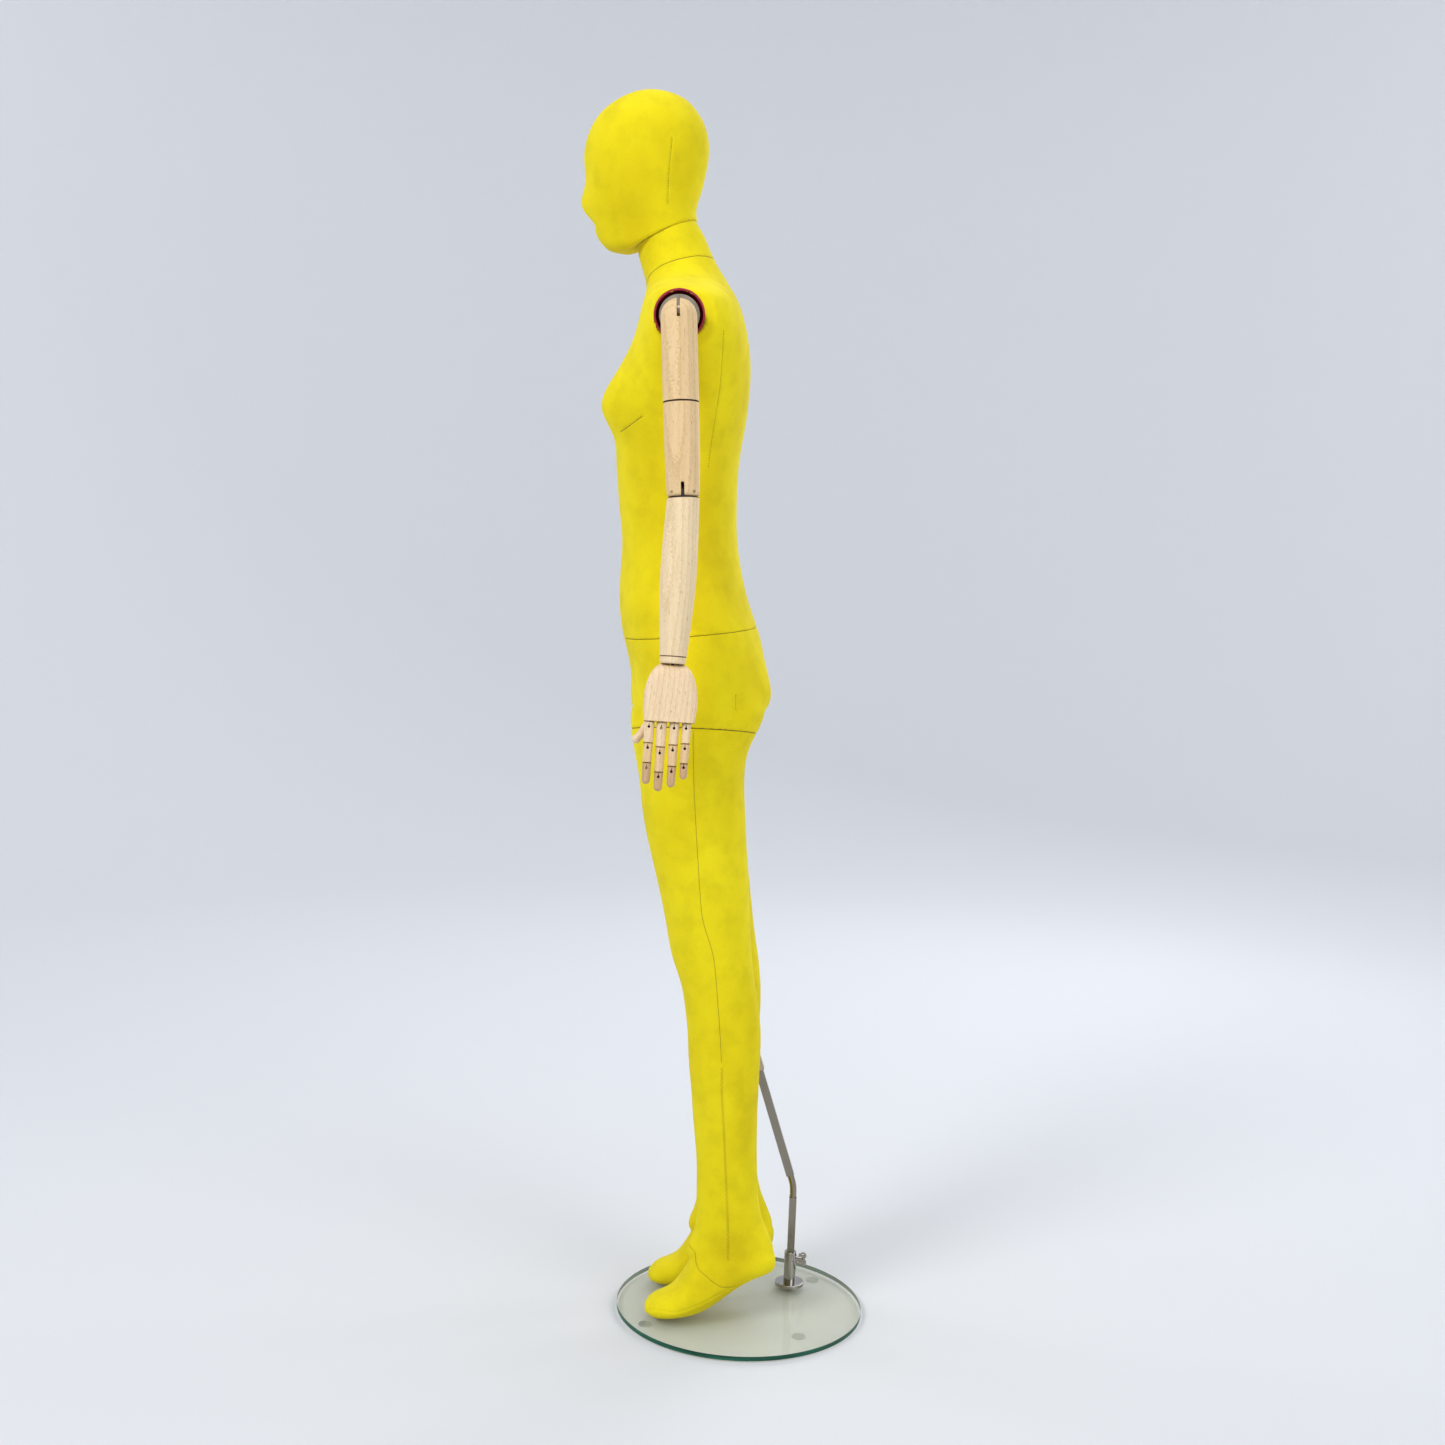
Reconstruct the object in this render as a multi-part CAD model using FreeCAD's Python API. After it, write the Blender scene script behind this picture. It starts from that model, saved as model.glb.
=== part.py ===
"""Full-size display mannequin: a fabric-covered figure with wooden arms, on a calf rod and glass base.

Frame: +Z up, the figure faces -Y, +X is the figure's left. X = 0 is the figure's centre plane.
The origin is on the floor, under the middle of the figure's bounding box. Millimetres and degrees.
"""
import FreeCAD, Part
import math
import os

from FreeCAD import Placement, Rotation, Vector

# ---- Glass base
GLASS_RADIUS = 181.0
GLASS_THICKNESS = 8.0
GLASS_CENTRE = (5.0, 51.5)
GLASS_CHAMFER = 0.8
PAD_RADIUS = 9.5
PAD_HEIGHT = 2.0
PAD_OFFSETS = ((-109.0, 115.0), (92.0, 86.0), (72.0, -136.0), (-103.0, -108.0))
GLASS_TOP = PAD_HEIGHT + GLASS_THICKNESS

# ---- Rod socket, its screw from below and its wing screw
SOCKET_AXIS = (-64.5, 128.6)
SOCKET_FLANGE_RADIUS = 22.0
SOCKET_FLANGE_THICKNESS = 5.0
SOCKET_FLANGE_ROUND = 1.5
SOCKET_RADIUS = 9.0
SOCKET_TOP = 62.0
SOCKET_TOP_CHAMFER = 0.8
SOCKET_FLOOR = 26.0
SOCKET_BOSS_RADIUS = 6.0
SOCKET_BOSS_END = 10.5
SOCKET_SCREW_RADIUS = 4.0
SOCKET_SCREW_TOP = 20.0
SOCKET_SCREW_BORE_TOP = 22.0
SCREW_HOLE_CLEARANCE = 1.0
SCREW_HEAD_RADIUS = 8.0
SCREW_HEAD = (0.3, 1.2)
SCREW_DRIVE = (2.5, 0.5)
WASHER_RADIUS = 12.0
WASHER_THICKNESS = 0.8
WING_SCREW_HEIGHT = 50.0
WING_SCREW_RADIUS = 2.5
WING_SHAFT_END = 14.0
WING_COLLAR = (4.2, 17.0)
WING_HALF_THICKNESS = 1.3
WING_ROOT = (4.6, 17.5, 20.0, 4.2)
WING_BLADE = (5.0, 19.5, 5.2)
WING_WEB = (12.5, 22.5, 8.0, 9.0, 17.0)

# ---- Rod
LOWER_TUBE_WIDTH = 10.8
LOWER_TUBE_TOP = 147.0
UPPER_TUBE_WIDTH = 12.0
TUBE_WALL = 1.5
BEND_BAR_RADIUS = 5.0
BEND_RADIUS = 60.0
BEND_STRAIGHT = 8.0
BEND_SPIGOT = 12.0
BEND_SPIGOT_ROOT = 2.0
ROD_LEAN = 18.5
UPPER_TUBE_LENGTH = 274.0
SLEEVE_START = 170.0
SLEEVE_WALL = 2.0
SLEEVE_SPACE_BELOW = 60.0

# ---- Clearances
RUNNING = 0.06       # radial, a pin or shaft in its own hole
SEATED = 0.05        # each side, a piece fixed in its pocket
BODY_GAP = 0.3       # half the gap between two bodies at a joint plane
TUBE_FIT = 0.1       # each side, a square tube sliding in its socket
SLOT_FIT = 0.25      # each side, a steel tongue in its sawn slot

# ---- Fabric cover and moulded shell
COVER = 1.5
SHELL = 4.5
END_WALL = 6.0
RING_POINTS = 32
LIMB_SQUARENESS = 2.1
WIDTH_INSET_LIMIT = 0.7    # an inset takes at most this share of a narrow outline's half width
HEIGHT_INSET_LIMIT = 0.3   # and at most this share of its height

# Trunk outlines: height, half width, front, back, depth of the widest place, squareness
TRUNK = (
    (851, 146, -100, -4, -48, 2.1),
    (862, 158, -118, 14, -48, 2.2),
    (880, 166, -131, 31, -48, 2.3),
    (908, 170, -139, 45, -47, 2.3),
    (938, 169, -140, 48, -48, 2.3),
    (968, 164, -146, 47, -52, 2.3),
    (998, 155, -154, 41, -58, 2.3),
    (1028, 144, -159, 30, -64, 2.3),
    (1058, 133, -161, 19.5, -70, 2.2),
    (1093, 121, -160, 10.5, -75, 2.2),
    (1128, 113, -160, 4.5, -79, 2.2),
    (1163, 110, -164, 2, -82, 2.2),
    (1198, 113, -168, 1, -84, 2.2),
    (1233, 119, -171, 1.5, -86, 2.2),
    (1268, 127, -172, 5, -86, 2.2),
    (1308, 138, -168, 10.5, -86, 2.3),
    (1348, 151, -160.5, 13.5, -86, 2.4),
    (1383, 167, -154, 12.5, -86, 2.5),
    (1410, 178, -148, 8.5, -86, 2.6),
    (1432, 181, -144, 3.5, -86, 2.6),
    (1449, 176, -141, -2, -86, 2.6),
    (1462, 158, -139, -7, -84, 2.4),
    (1473, 127, -138, -12, -81, 2.2),
    (1484, 94, -138, -19, -79, 2.1),
    (1498, 70, -141.5, -28, -84, 2.0),
    (1516, 58, -147.5, -40, -94, 2.0),
    (1538, 53, -153, -51.5, -102, 2.0),
    (1560, 51.5, -158, -62.5, -108, 2.0),
    (1586, 51, -163, -73, -114, 2.0),
)

# Head outlines, same columns
HEAD = (
    (1529, 27, -182, -100, -140, 2.0),
    (1533, 38, -196, -84, -138, 2.0),
    (1542, 46, -205, -70, -130, 2.0),
    (1556, 51.5, -212, -63, -118, 2.05),
    (1574, 58, -220, -69, -122, 2.1),
    (1591, 64, -226, -72, -132, 2.1),
    (1608, 69, -227, -68, -138, 2.1),
    (1633, 74, -228, -62, -138, 2.1),
    (1658, 76.5, -231, -58, -138, 2.1),
    (1683, 76, -227, -58, -138, 2.1),
    (1706, 71, -216.5, -64.5, -138, 2.1),
    (1724, 61, -200.5, -76, -138, 2.1),
    (1738, 46, -180.5, -91, -137, 2.05),
    (1746, 28, -161, -112, -137, 2.0),
    (1749, 8, -146, -130, -138, 2.0),
)

# Leg outlines from the sole up: height, half width, front, back, depth of the widest place, sideways centre
LEG = (
    (92, 24, -20, 92, 42, 51),
    (106, 29.5, -28, 98, 38, 51),
    (126, 32, -22, 93, 34, 51),
    (151, 33.5, -16.5, 82, 31, 51.5),
    (184, 34.5, -17, 73, 28, 52),
    (225, 37, -18.5, 69, 26, 53),
    (265, 41, -21.5, 67, 24, 54.5),
    (306, 45, -26.5, 66, 22, 56),
    (352, 48, -31.5, 66, 20, 58),
    (402, 48, -37, 66, 17, 60),
    (439, 46.5, -40, 65, 14, 61.5),
    (475, 47, -45, 60, 8, 63),
    (509, 49, -53, 53.5, 0, 64.5),
    (546, 51, -66, 48, -8, 66.5),
    (583, 53.5, -74, 44.5, -16, 68.5),
    (628, 58, -84, 41, -24, 71.5),
    (688, 64, -99.5, 35.5, -34, 75.5),
    (748, 70, -113, 30.5, -42, 79),
    (808, 75.5, -122, 27, -47, 82),
    (851, 78.5, -131, 34, -47, 84),
    (878, 79, -134.5, 46, -46, 84.5),
    (904, 74, -131, 51, -44, 84),
    (926, 56, -112, 34, -42, 83),
)

# Foot outlines from the heel forward: distance forward, half width, bottom, top, height of the widest place
FOOT = (
    (-101, 5, 87, 97, 92),
    (-98, 16, 80, 106, 92),
    (-88, 25, 74, 117, 92),
    (-68, 31, 66, 124, 90),
    (-42, 33, 50, 126, 80),
    (-15, 34.5, 29, 121, 62),
    (10, 36.5, 15, 109, 46),
    (28, 38, 11.2, 81, 35),
    (45, 39, 10.3, 54, 28),
    (58, 38.5, 10.3, 44.5, 25),
    (71, 34, 11.5, 38.5, 23),
    (80, 25, 14, 32, 22),
    (86, 11, 17, 26.5, 21),
)
# The feet turn out about a point under the ankle
FOOT_PIVOT = (52.5, 32.0)
FOOT_TURN_OUT = 5.0

# Soft swellings added to an outline: sideways centre, height, sideways spread, spread below and above, rise.
# The right calf is a little fuller at the back than the left.
BUST = (72.0, 1314.0, 46.0, 40.0, 56.0, 31.0)
BUTTOCK = (74.0, 913.0, 50.0, 42.0, 52.0, 18.0)
NOSE = (0.0, 1591.0, 15.0, 13.0, 26.0, 7.0)
RIGHT_CALF = (0.0, 512.0, 70.0, 62.0, 95.0, 8.0)

# ---- Joint planes of the figure: a point and the tilt
NECK_POINT = Vector(0, -110, 1556)
NECK_TILT = 25.3
WAIST_POINT = Vector(0, -58, 1001)
WAIST_TILT = 6.7
THIGH_POINT = Vector(84, -46, 865)
THIGH_TILT = 9.5
PEG_FLANGE = 3.0
WAIST_PEG = (32.0, 12.5, 45.0)
NECK_PEG = (22.0, 8.0, 40.0)
THIGH_PEG = (28.0, 10.0, 40.0)
PEG_CHAMFER = 1.0
PEG_HOLE_EXTRA = 2.0

# ---- Shoulder
SHOULDER_FACE = 165.0
SHOULDER_AXIS = (-85.0, 1426.0)
CUP_RADIUS = 31.5
CUP_WALL = 2.5
CUP_DEPTH = 30.0
CUP_OUTER_ROUND = 9.0
CUP_INNER_ROUND = 8.0
FITTING_DISC_RADIUS = 27.0
FITTING_DISC_DEPTH = 5.0
FITTING_DISC_THICKNESS = 3.0
FITTING_AXLE_RADIUS = 7.0
FITTING_AXLE_END = 10.0    # past the back of the cup
FITTING_NUT_RADIUS = 12.0
FITTING_NUT = (1.0, 7.0)
TONGUE_THICKNESS = 3.7
TONGUE_HALF_HEIGHT = 9.0
SHOULDER_PIN_REACH = 191.0
ARM_PIN_RADIUS = 2.5
ARM_LEAN_BACK = 3.65
ARM_SPLAY = 4.4

# ---- Upper arm and elbow
DOME_RADIUS = 24.0
DOME_RISE = 17.5
SHOULDER_SLOT_DEPTH = 28.0
SHOULDER_PIN_SHORT = 2.0
SWIVEL_DROP = 118.0
SWIVEL_RADIUS = 23.5
SWIVEL_AXLE = (6.0, 22.0)
SWIVEL_AXLE_SEAT = 20.0
SWIVEL_CHAMFER = 0.7
ELBOW_DROP = 242.0
ELBOW_RADIUS = 21.5
ELBOW_ROUND = 6.5
ELBOW_SLOT_HEIGHT = 19.0
ELBOW_TONGUE = (4.0, 5.6, 34.0)
ELBOW_PIN_RADIUS = 2.0
ELBOW_PIN_HALF_LENGTH = 13.0
# Turned outline between the swivel and the elbow: radius, height
ELBOW_OUTLINE = ((23.2, -170.0), (22.4, -210.0))
FOREARM_LEAN = -5.0
FOREARM_SPLAY = 1.7
FOREARM = ((21.2, 0), (22.3, 34), (23.6, 80), (23.2, 120), (20.6, 168), (17.6, 207.5))
FOREARM_LENGTH = 208.0
FOREARM_TOP_SPARE = 6.0
FOREARM_CHAMFER = 0.6

# ---- Wrist and palm
WRIST_RADIUS = 17.3
WRIST_RING_HEIGHT = 9.0
WRIST_AXLE = (5.0, 16.0)
WRIST_AXLE_SEAT = 4.0
WRIST_CHAMFER = 0.6
# Lower edge of the ring: narrowing, height above the end
WRIST_FOOT = ((0.2, 2.0), (0.8, 0.6), (2.2, 0.0))
WRIST_PIN_DROP = 13.0
WRIST_EYE_RADIUS = 4.5
WRIST_EYE_HALF_WIDTH = 3.0
WRIST_LINK_RADIUS = 2.5
WRIST_PIN_RADIUS = 1.5
WRIST_PIN_HALF_LENGTH = 10.0
WRIST_BEND = 20.0
WRIST_BEND_SPACE = 0.4
# Palm outlines down from the wrist: drop, half thickness, half width
PALM = (
    (0.4, 2.2, 12.5),
    (1.2, 5.0, 16.5),
    (3.2, 8.2, 19.5),
    (7, 11.3, 23.5),
    (13, 12.7, 27.5),
    (25, 12.4, 32.0),
    (40, 11.2, 34.8),
    (57, 9.8, 35.2),
    (76.5, 8.6, 33.2),
)
PALM_LENGTH = 76.5
PALM_HALF_THICKNESS = 8.6
PALM_SQUARENESS = 2.6

# ---- Fingers: place across the palm, lengths of the three segments, half width at the knuckle
FINGERS = {
    "index": (-25.5, (28.0, 26.0, 28.0), 6.7),
    "middle": (-9.3, (32.5, 33.0, 25.0), 6.8),
    "ring": (7.3, (29.0, 28.0, 27.5), 6.6),
    "little": (22.9, (26.5, 26.0, 20.5), 6.1),
}
SEGMENTS = ("proximal", "middle", "distal")
FINGER_TAPER = 0.93
FINGER_PIN_INSET = 3.5
FINGER_PIN_RADIUS = 1.1
FINGER_PIN_HALF_LENGTH = 5.0
FINGER_TONGUE = (2.0, 2.7, 9.0)
FINGER_GAP = 0.35
KEYHOLE = (1.8, 4.4, 1.0, 2.0)
KEYHOLE_SHARE = 0.24
THUMB_ROOT = (-19.8, -14.0, -36.0)
THUMB_LEAN = -15.0
THUMB_LENGTHS = (38.0, 38.0)
THUMB_HALF_WIDTH = 7.0
THUMB_END_SHARE = 0.93
THUMB_CURVE = (-1.5, -9.0)
THUMB_PIN_DROP = 7.0
THUMB_PIN_RADIUS = 2.0
THUMB_PIN_REACH = 13.5
THUMB_PIN_START = -3.0

Z_AXIS = Vector(0, 0, 1)
Y_AXIS = Vector(0, 1, 0)
X_AXIS = Vector(1, 0, 0)
LARGE = 2500.0
SPARE = 1.0          # how far a cutting solid passes the face it cuts
THROUGH = 30.0       # half the length of a bore that passes through a limb


# ---------------------------------------------------------------- helpers
def frame(parent, x=0.0, y=0.0, z=0.0, about_x=0.0, about_y=0.0, about_z=0.0):
    """A place inside another place: moved first, then turned about X, Y and Z in turn."""
    place = parent.multiply(Placement(Vector(x, y, z), Rotation(X_AXIS, about_x)))
    place = place.multiply(Placement(Vector(), Rotation(Y_AXIS, about_y)))
    return place.multiply(Placement(Vector(), Rotation(Z_AXIS, about_z)))


def placed(shape, place):
    moved = shape.copy()
    moved.Placement = place.multiply(moved.Placement)
    return moved


def mirrored(shape):
    return shape.mirror(Vector(), X_AXIS)


def fused(*shapes):
    return shapes[0].fuse(list(shapes[1:]))


def half_space(point, normal, offset=0.0):
    """Everything on the side of a plane that its normal points to."""
    slab = Part.makeBox(LARGE, LARGE, LARGE, Vector(-LARGE / 2, -LARGE / 2, 0))
    return placed(slab, Placement(point + normal * offset, Rotation(Z_AXIS, normal)))


def box(x0, x1, y0, y1, z0, z1):
    return Part.makeBox(x1 - x0, y1 - y0, z1 - z0, Vector(x0, y0, z0))


def rod_along_x(radius, x0, x1, y=0.0, z=0.0):
    return Part.makeCylinder(radius, x1 - x0, Vector(x0, y, z), X_AXIS)


def rod_along_y(radius, y0, y1, x=0.0, z=0.0):
    return Part.makeCylinder(radius, y1 - y0, Vector(x, y0, z), Y_AXIS)


def rod_along_z(radius, z0, z1):
    return Part.makeCylinder(radius, z1 - z0, Vector(0, 0, z0))


def cross_pin(radius, half_length, x=0.0, z=0.0):
    """A pin along Y, centred on the piece."""
    return rod_along_y(radius, -half_length, half_length, x, z)


def signed_power(value, power):
    return math.copysign(abs(value) ** power, value)


def swelling(bump, x, height):
    """Rise of one soft swelling, and of its mirror image, at a place on the outline."""
    centre, middle, across, below, above, rise = bump
    spread = below if height < middle else above
    fall = math.exp(-((height - middle) / spread) ** 2)
    sides = (centre, -centre) if centre else (0.0,)
    return rise * fall * sum(math.exp(-((x - side) / across) ** 2) for side in sides)


def ring(level, half_width, front, back, widest, squareness=2.0, centre=0.0, inset=0.0, bumps=()):
    """A closed smooth outline in the plane z = level. A bump is (swelling, +1 at the back or -1 in front)."""
    points = []
    for index in range(RING_POINTS):
        turn = 2 * math.pi * index / RING_POINTS
        across, along = math.cos(turn), math.sin(turn)
        x = (half_width - inset) * signed_power(across, 2 / squareness)
        depth = (back - widest if along > 0 else widest - front) - inset
        y = widest + depth * signed_power(along, 2 / squareness)
        for bump, side in bumps:
            if along * side > 0:
                y += side * swelling(bump, x, level) * min(1.0, 2 * abs(along))
        points.append(Vector(x + centre, y, level))
    curve = Part.BSplineCurve()
    parameters = [index / RING_POINTS for index in range(RING_POINTS + 1)]
    curve.interpolate(Points=points, Parameters=parameters, PeriodicFlag=True)
    return Part.Wire([curve.toShape()])


def loft(rings):
    return Part.makeLoft(rings, True, False, False)


def level_inset(levels, index, inset):
    """End outlines move inwards along the form as well, so that a closed end keeps its thickness."""
    if index == 0:
        return levels[0] + inset
    if index == len(levels) - 1:
        return levels[-1] - inset
    return levels[index]


def turned(outline):
    """A turned piece. The outline is a list of edges from one point of the Z axis to another."""
    start = outline[0].valueAt(outline[0].FirstParameter)
    end = outline[-1].valueAt(outline[-1].LastParameter)
    closing = Part.LineSegment(end, start).toShape()
    return Part.Face(Part.Wire(outline + [closing])).revolve(Vector(), Z_AXIS, 360)


def line(x0, z0, x1, z1):
    return Part.LineSegment(Vector(x0, 0, z0), Vector(x1, 0, z1)).toShape()


def arc(x0, z0, xm, zm, x1, z1):
    return Part.Arc(Vector(x0, 0, z0), Vector(xm, 0, zm), Vector(x1, 0, z1)).toShape()


def spline(points):
    curve = Part.BSplineCurve()
    curve.interpolate(Points=[Vector(x, 0, z) for x, z in points])
    return curve.toShape()


def square_tube(width, wall, length):
    outside = box(-width / 2, width / 2, -width / 2, width / 2, 0, length)
    bore = width / 2 - wall
    return outside.cut(box(-bore, bore, -bore, bore, -1, length + 1))


def flanged_peg(peg):
    flange_radius, radius, length = peg
    flange = Part.makeCylinder(flange_radius, PEG_FLANGE, Vector(0, 0, -PEG_FLANGE))
    shaft = Part.makeCylinder(radius, length)
    return fused(flange, shaft.makeChamfer(PEG_CHAMFER, [shaft.Edges[0]]))


def peg_pocket(peg):
    depth = PEG_FLANGE + SEATED
    return Part.makeCylinder(peg[0] + SEATED, depth + 1, Vector(0, 0, -depth))


def peg_hole(peg):
    return Part.makeCylinder(peg[1] + RUNNING, peg[2] + PEG_HOLE_EXTRA)


def save(name, *solids):
    shape = solids[0] if len(solids) == 1 else Part.makeCompound(list(solids))
    shape.exportStep(f"parts/{name}.step")


# ---------------------------------------------------------------- places of the joints
ORIGIN = Placement()
NECK_NORMAL = Rotation(X_AXIS, NECK_TILT).multVec(Z_AXIS)
WAIST_NORMAL = Rotation(X_AXIS, WAIST_TILT).multVec(Z_AXIS)
THIGH_NORMAL = Rotation(Y_AXIS, -THIGH_TILT).multVec(Z_AXIS)
NECK_PLACE = frame(ORIGIN, *NECK_POINT, about_x=NECK_TILT)
WAIST_PLACE = frame(ORIGIN, *WAIST_POINT, about_x=WAIST_TILT)
THIGH_PLACE = frame(ORIGIN, *THIGH_POINT, about_y=180 - THIGH_TILT)

ROD_BASE = frame(ORIGIN, *SOCKET_AXIS)
BEND_LEAN = math.radians(ROD_LEAN)
BEND_RISE = BEND_STRAIGHT * (1 + math.cos(BEND_LEAN)) + BEND_RADIUS * math.sin(BEND_LEAN)
BEND_REACH = BEND_STRAIGHT * math.sin(BEND_LEAN) + BEND_RADIUS * (1 - math.cos(BEND_LEAN))
UPPER_TUBE = frame(ROD_BASE, 0, -BEND_REACH, LOWER_TUBE_TOP + BEND_RISE, about_x=ROD_LEAN)

SHOULDER = frame(ORIGIN, SHOULDER_PIN_REACH, SHOULDER_AXIS[0], SHOULDER_AXIS[1], about_x=ARM_LEAN_BACK)
UPPER_ARM = frame(SHOULDER, about_y=-ARM_SPLAY)
ELBOW_PIN = (ELBOW_RADIUS - ELBOW_ROUND, -ELBOW_DROP + ELBOW_ROUND)
FOREARM_TOP = frame(UPPER_ARM, 0, 0, -ELBOW_DROP - BODY_GAP, about_x=FOREARM_LEAN, about_y=-FOREARM_SPLAY)
WRIST = frame(FOREARM_TOP, 0, 0, -FOREARM_LENGTH)
HAND = frame(WRIST, 0, 0, -WRIST_RING_HEIGHT)
PALM_FACE = -PALM_HALF_THICKNESS
THUMB_IN_HAND = frame(ORIGIN, *THUMB_ROOT, about_x=THUMB_LEAN)
THUMB = HAND.multiply(THUMB_IN_HAND)


# ---------------------------------------------------------------- the figure's outer form, at any inset
def trunk_form(inset):
    heights = [row[0] for row in TRUNK]
    bumps = ((BUST, -1), (BUTTOCK, 1))
    rings = []
    for index, (_, half_width, front, back, widest, squareness) in enumerate(TRUNK):
        level = level_inset(heights, index, inset)
        rings.append(ring(level, half_width, front, back, widest, squareness, 0, inset, bumps))
    return loft(rings)


def head_form(inset):
    heights = [row[0] for row in HEAD]
    rings = []
    for index, (_, half_width, front, back, widest, squareness) in enumerate(HEAD):
        level = level_inset(heights, index, inset)
        smaller = min(inset, half_width * WIDTH_INSET_LIMIT)
        rings.append(ring(level, half_width, front, back, widest, squareness, 0, smaller, ((NOSE, -1),)))
    return loft(rings)


def leg_form(inset, side):
    heights = [row[0] for row in LEG]
    bumps = ((RIGHT_CALF, 1),) if side < 0 else ()
    rings = []
    for index, (_, half_width, front, back, widest, centre) in enumerate(LEG):
        level = level_inset(heights, index, inset)
        sideways = side * centre
        rings.append(ring(level, half_width, front, back, widest, LIMB_SQUARENESS, sideways, inset, bumps))
    return loft(rings)


def foot_form(inset, side):
    forwards = [row[0] for row in FOOT]
    rings = []
    for index, (_, half_width, bottom, top, widest) in enumerate(FOOT):
        level = level_inset(forwards, index, inset)
        smaller = min(inset, half_width * WIDTH_INSET_LIMIT, (top - bottom) * HEIGHT_INSET_LIMIT)
        rings.append(ring(level, half_width, bottom, top, widest, LIMB_SQUARENESS, 0, smaller))
    foot_pivot = (side * FOOT_PIVOT[0], FOOT_PIVOT[1])
    upright = placed(loft(rings), frame(ORIGIN, 0, -FOOT_PIVOT[1], 0, about_x=90))
    return placed(upright, frame(ORIGIN, *foot_pivot, 0, about_z=side * FOOT_TURN_OUT))


def below_thigh(wall):
    """The left leg's side of its joint plane, down to the sole."""
    beside = box(BODY_GAP + wall, LARGE / 2, -LARGE / 2, LARGE / 2, -LARGE / 2, LARGE / 2)
    return beside.common(half_space(THIGH_POINT, THIGH_NORMAL * -1, BODY_GAP + wall))


def hips_form(figure, wall):
    hips = figure.cut(half_space(WAIST_POINT, WAIST_NORMAL, -BODY_GAP - wall))
    return hips.cut(below_thigh(-wall - 2 * BODY_GAP))


def left_leg_form(figure, wall):
    return figure.common(below_thigh(wall))


def torso_form(inset, wall, face):
    torso = trunk_form(inset)
    torso = torso.common(half_space(WAIST_POINT, WAIST_NORMAL, BODY_GAP + wall))
    torso = torso.cut(half_space(NECK_POINT, NECK_NORMAL, -BODY_GAP - wall))
    return torso.common(box(-face, face, -LARGE, LARGE, 0, LARGE))


def figure_form(inset):
    parts = [leg_form(inset, 1), foot_form(inset, 1), leg_form(inset, -1), foot_form(inset, -1)]
    return trunk_form(inset).fuse(parts)


# ---------------------------------------------------------------- base
def make_base():
    centre = Vector(*GLASS_CENTRE, PAD_HEIGHT)
    glass = Part.makeCylinder(GLASS_RADIUS, GLASS_THICKNESS, centre)
    glass = glass.makeChamfer(GLASS_CHAMFER, [glass.Edges[0], glass.Edges[2]])
    hole = rod_along_z(SOCKET_SCREW_RADIUS + SCREW_HOLE_CLEARANCE, 0, GLASS_TOP + SPARE)
    save("glass_base", glass.cut(placed(hole, ROD_BASE)))
    pads = [
        Part.makeCylinder(PAD_RADIUS, PAD_HEIGHT, Vector(GLASS_CENTRE[0] + x, GLASS_CENTRE[1] + y, 0))
        for x, y in PAD_OFFSETS
    ]
    save("base_pads", *pads)


def make_socket():
    flange = rod_along_z(SOCKET_FLANGE_RADIUS, GLASS_TOP, GLASS_TOP + SOCKET_FLANGE_THICKNESS)
    flange = flange.makeFillet(SOCKET_FLANGE_ROUND, [flange.Edges[0]])
    tube = rod_along_z(SOCKET_RADIUS, GLASS_TOP, SOCKET_TOP)
    tube = tube.makeChamfer(SOCKET_TOP_CHAMFER, [tube.Edges[0]])
    boss = rod_along_y(SOCKET_BOSS_RADIUS, SOCKET_BOSS_RADIUS, SOCKET_BOSS_END, z=WING_SCREW_HEIGHT)
    half = LOWER_TUBE_WIDTH / 2 + TUBE_FIT
    tube_space = box(-half, half, -half, half, SOCKET_FLOOR, SOCKET_TOP + SPARE)
    screw_bore = rod_along_z(SOCKET_SCREW_RADIUS + SEATED, GLASS_TOP, SOCKET_SCREW_BORE_TOP)
    wing_bore = rod_along_y(WING_SCREW_RADIUS + RUNNING, 0, SOCKET_FLANGE_RADIUS, z=WING_SCREW_HEIGHT)
    socket = fused(flange, tube, boss).cut([tube_space, screw_bore, wing_bore])
    save("rod_socket", placed(socket, ROD_BASE))


def make_socket_screw():
    """The screw and washer that hold the socket from under the glass."""
    washer_low = PAD_HEIGHT - WASHER_THICKNESS
    shaft = rod_along_z(SOCKET_SCREW_RADIUS, washer_low, SOCKET_SCREW_TOP)
    drive_radius, drive_depth = SCREW_DRIVE
    head = rod_along_z(SCREW_HEAD_RADIUS, *SCREW_HEAD).cut(rod_along_z(drive_radius, 0, drive_depth))
    washer = rod_along_z(WASHER_RADIUS, washer_low, PAD_HEIGHT)
    washer = washer.cut(rod_along_z(SOCKET_SCREW_RADIUS + SEATED, 0, GLASS_TOP))
    save("socket_screw", placed(fused(shaft, head), ROD_BASE), placed(washer, ROD_BASE))


def make_wing_screw():
    start = LOWER_TUBE_WIDTH / 2 + TUBE_FIT + SLOT_FIT
    collar_radius, collar_end = WING_COLLAR
    parts = [
        rod_along_y(WING_SCREW_RADIUS, start, WING_SHAFT_END),
        rod_along_y(collar_radius, SOCKET_BOSS_END + BODY_GAP, collar_end),
    ]
    root_radius, root_start, root_end, root_rise = WING_ROOT
    blade_radius, blade_place, blade_rise = WING_BLADE
    web_start, web_end, web_height, web_radius, web_place = WING_WEB
    half = WING_HALF_THICKNESS
    web = box(-half, half, web_start, web_end, -web_height, web_height)
    parts.append(web.common(rod_along_x(web_radius, -half - SPARE, half + SPARE, web_place)))
    for side in (1, -1):
        parts.append(rod_along_y(root_radius, root_start, root_end, z=root_rise * side))
        parts.append(rod_along_x(blade_radius, -half, half, blade_place, blade_rise * side))
    save("wing_screw", placed(fused(*parts), frame(ROD_BASE, 0, 0, WING_SCREW_HEIGHT)))


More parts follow.
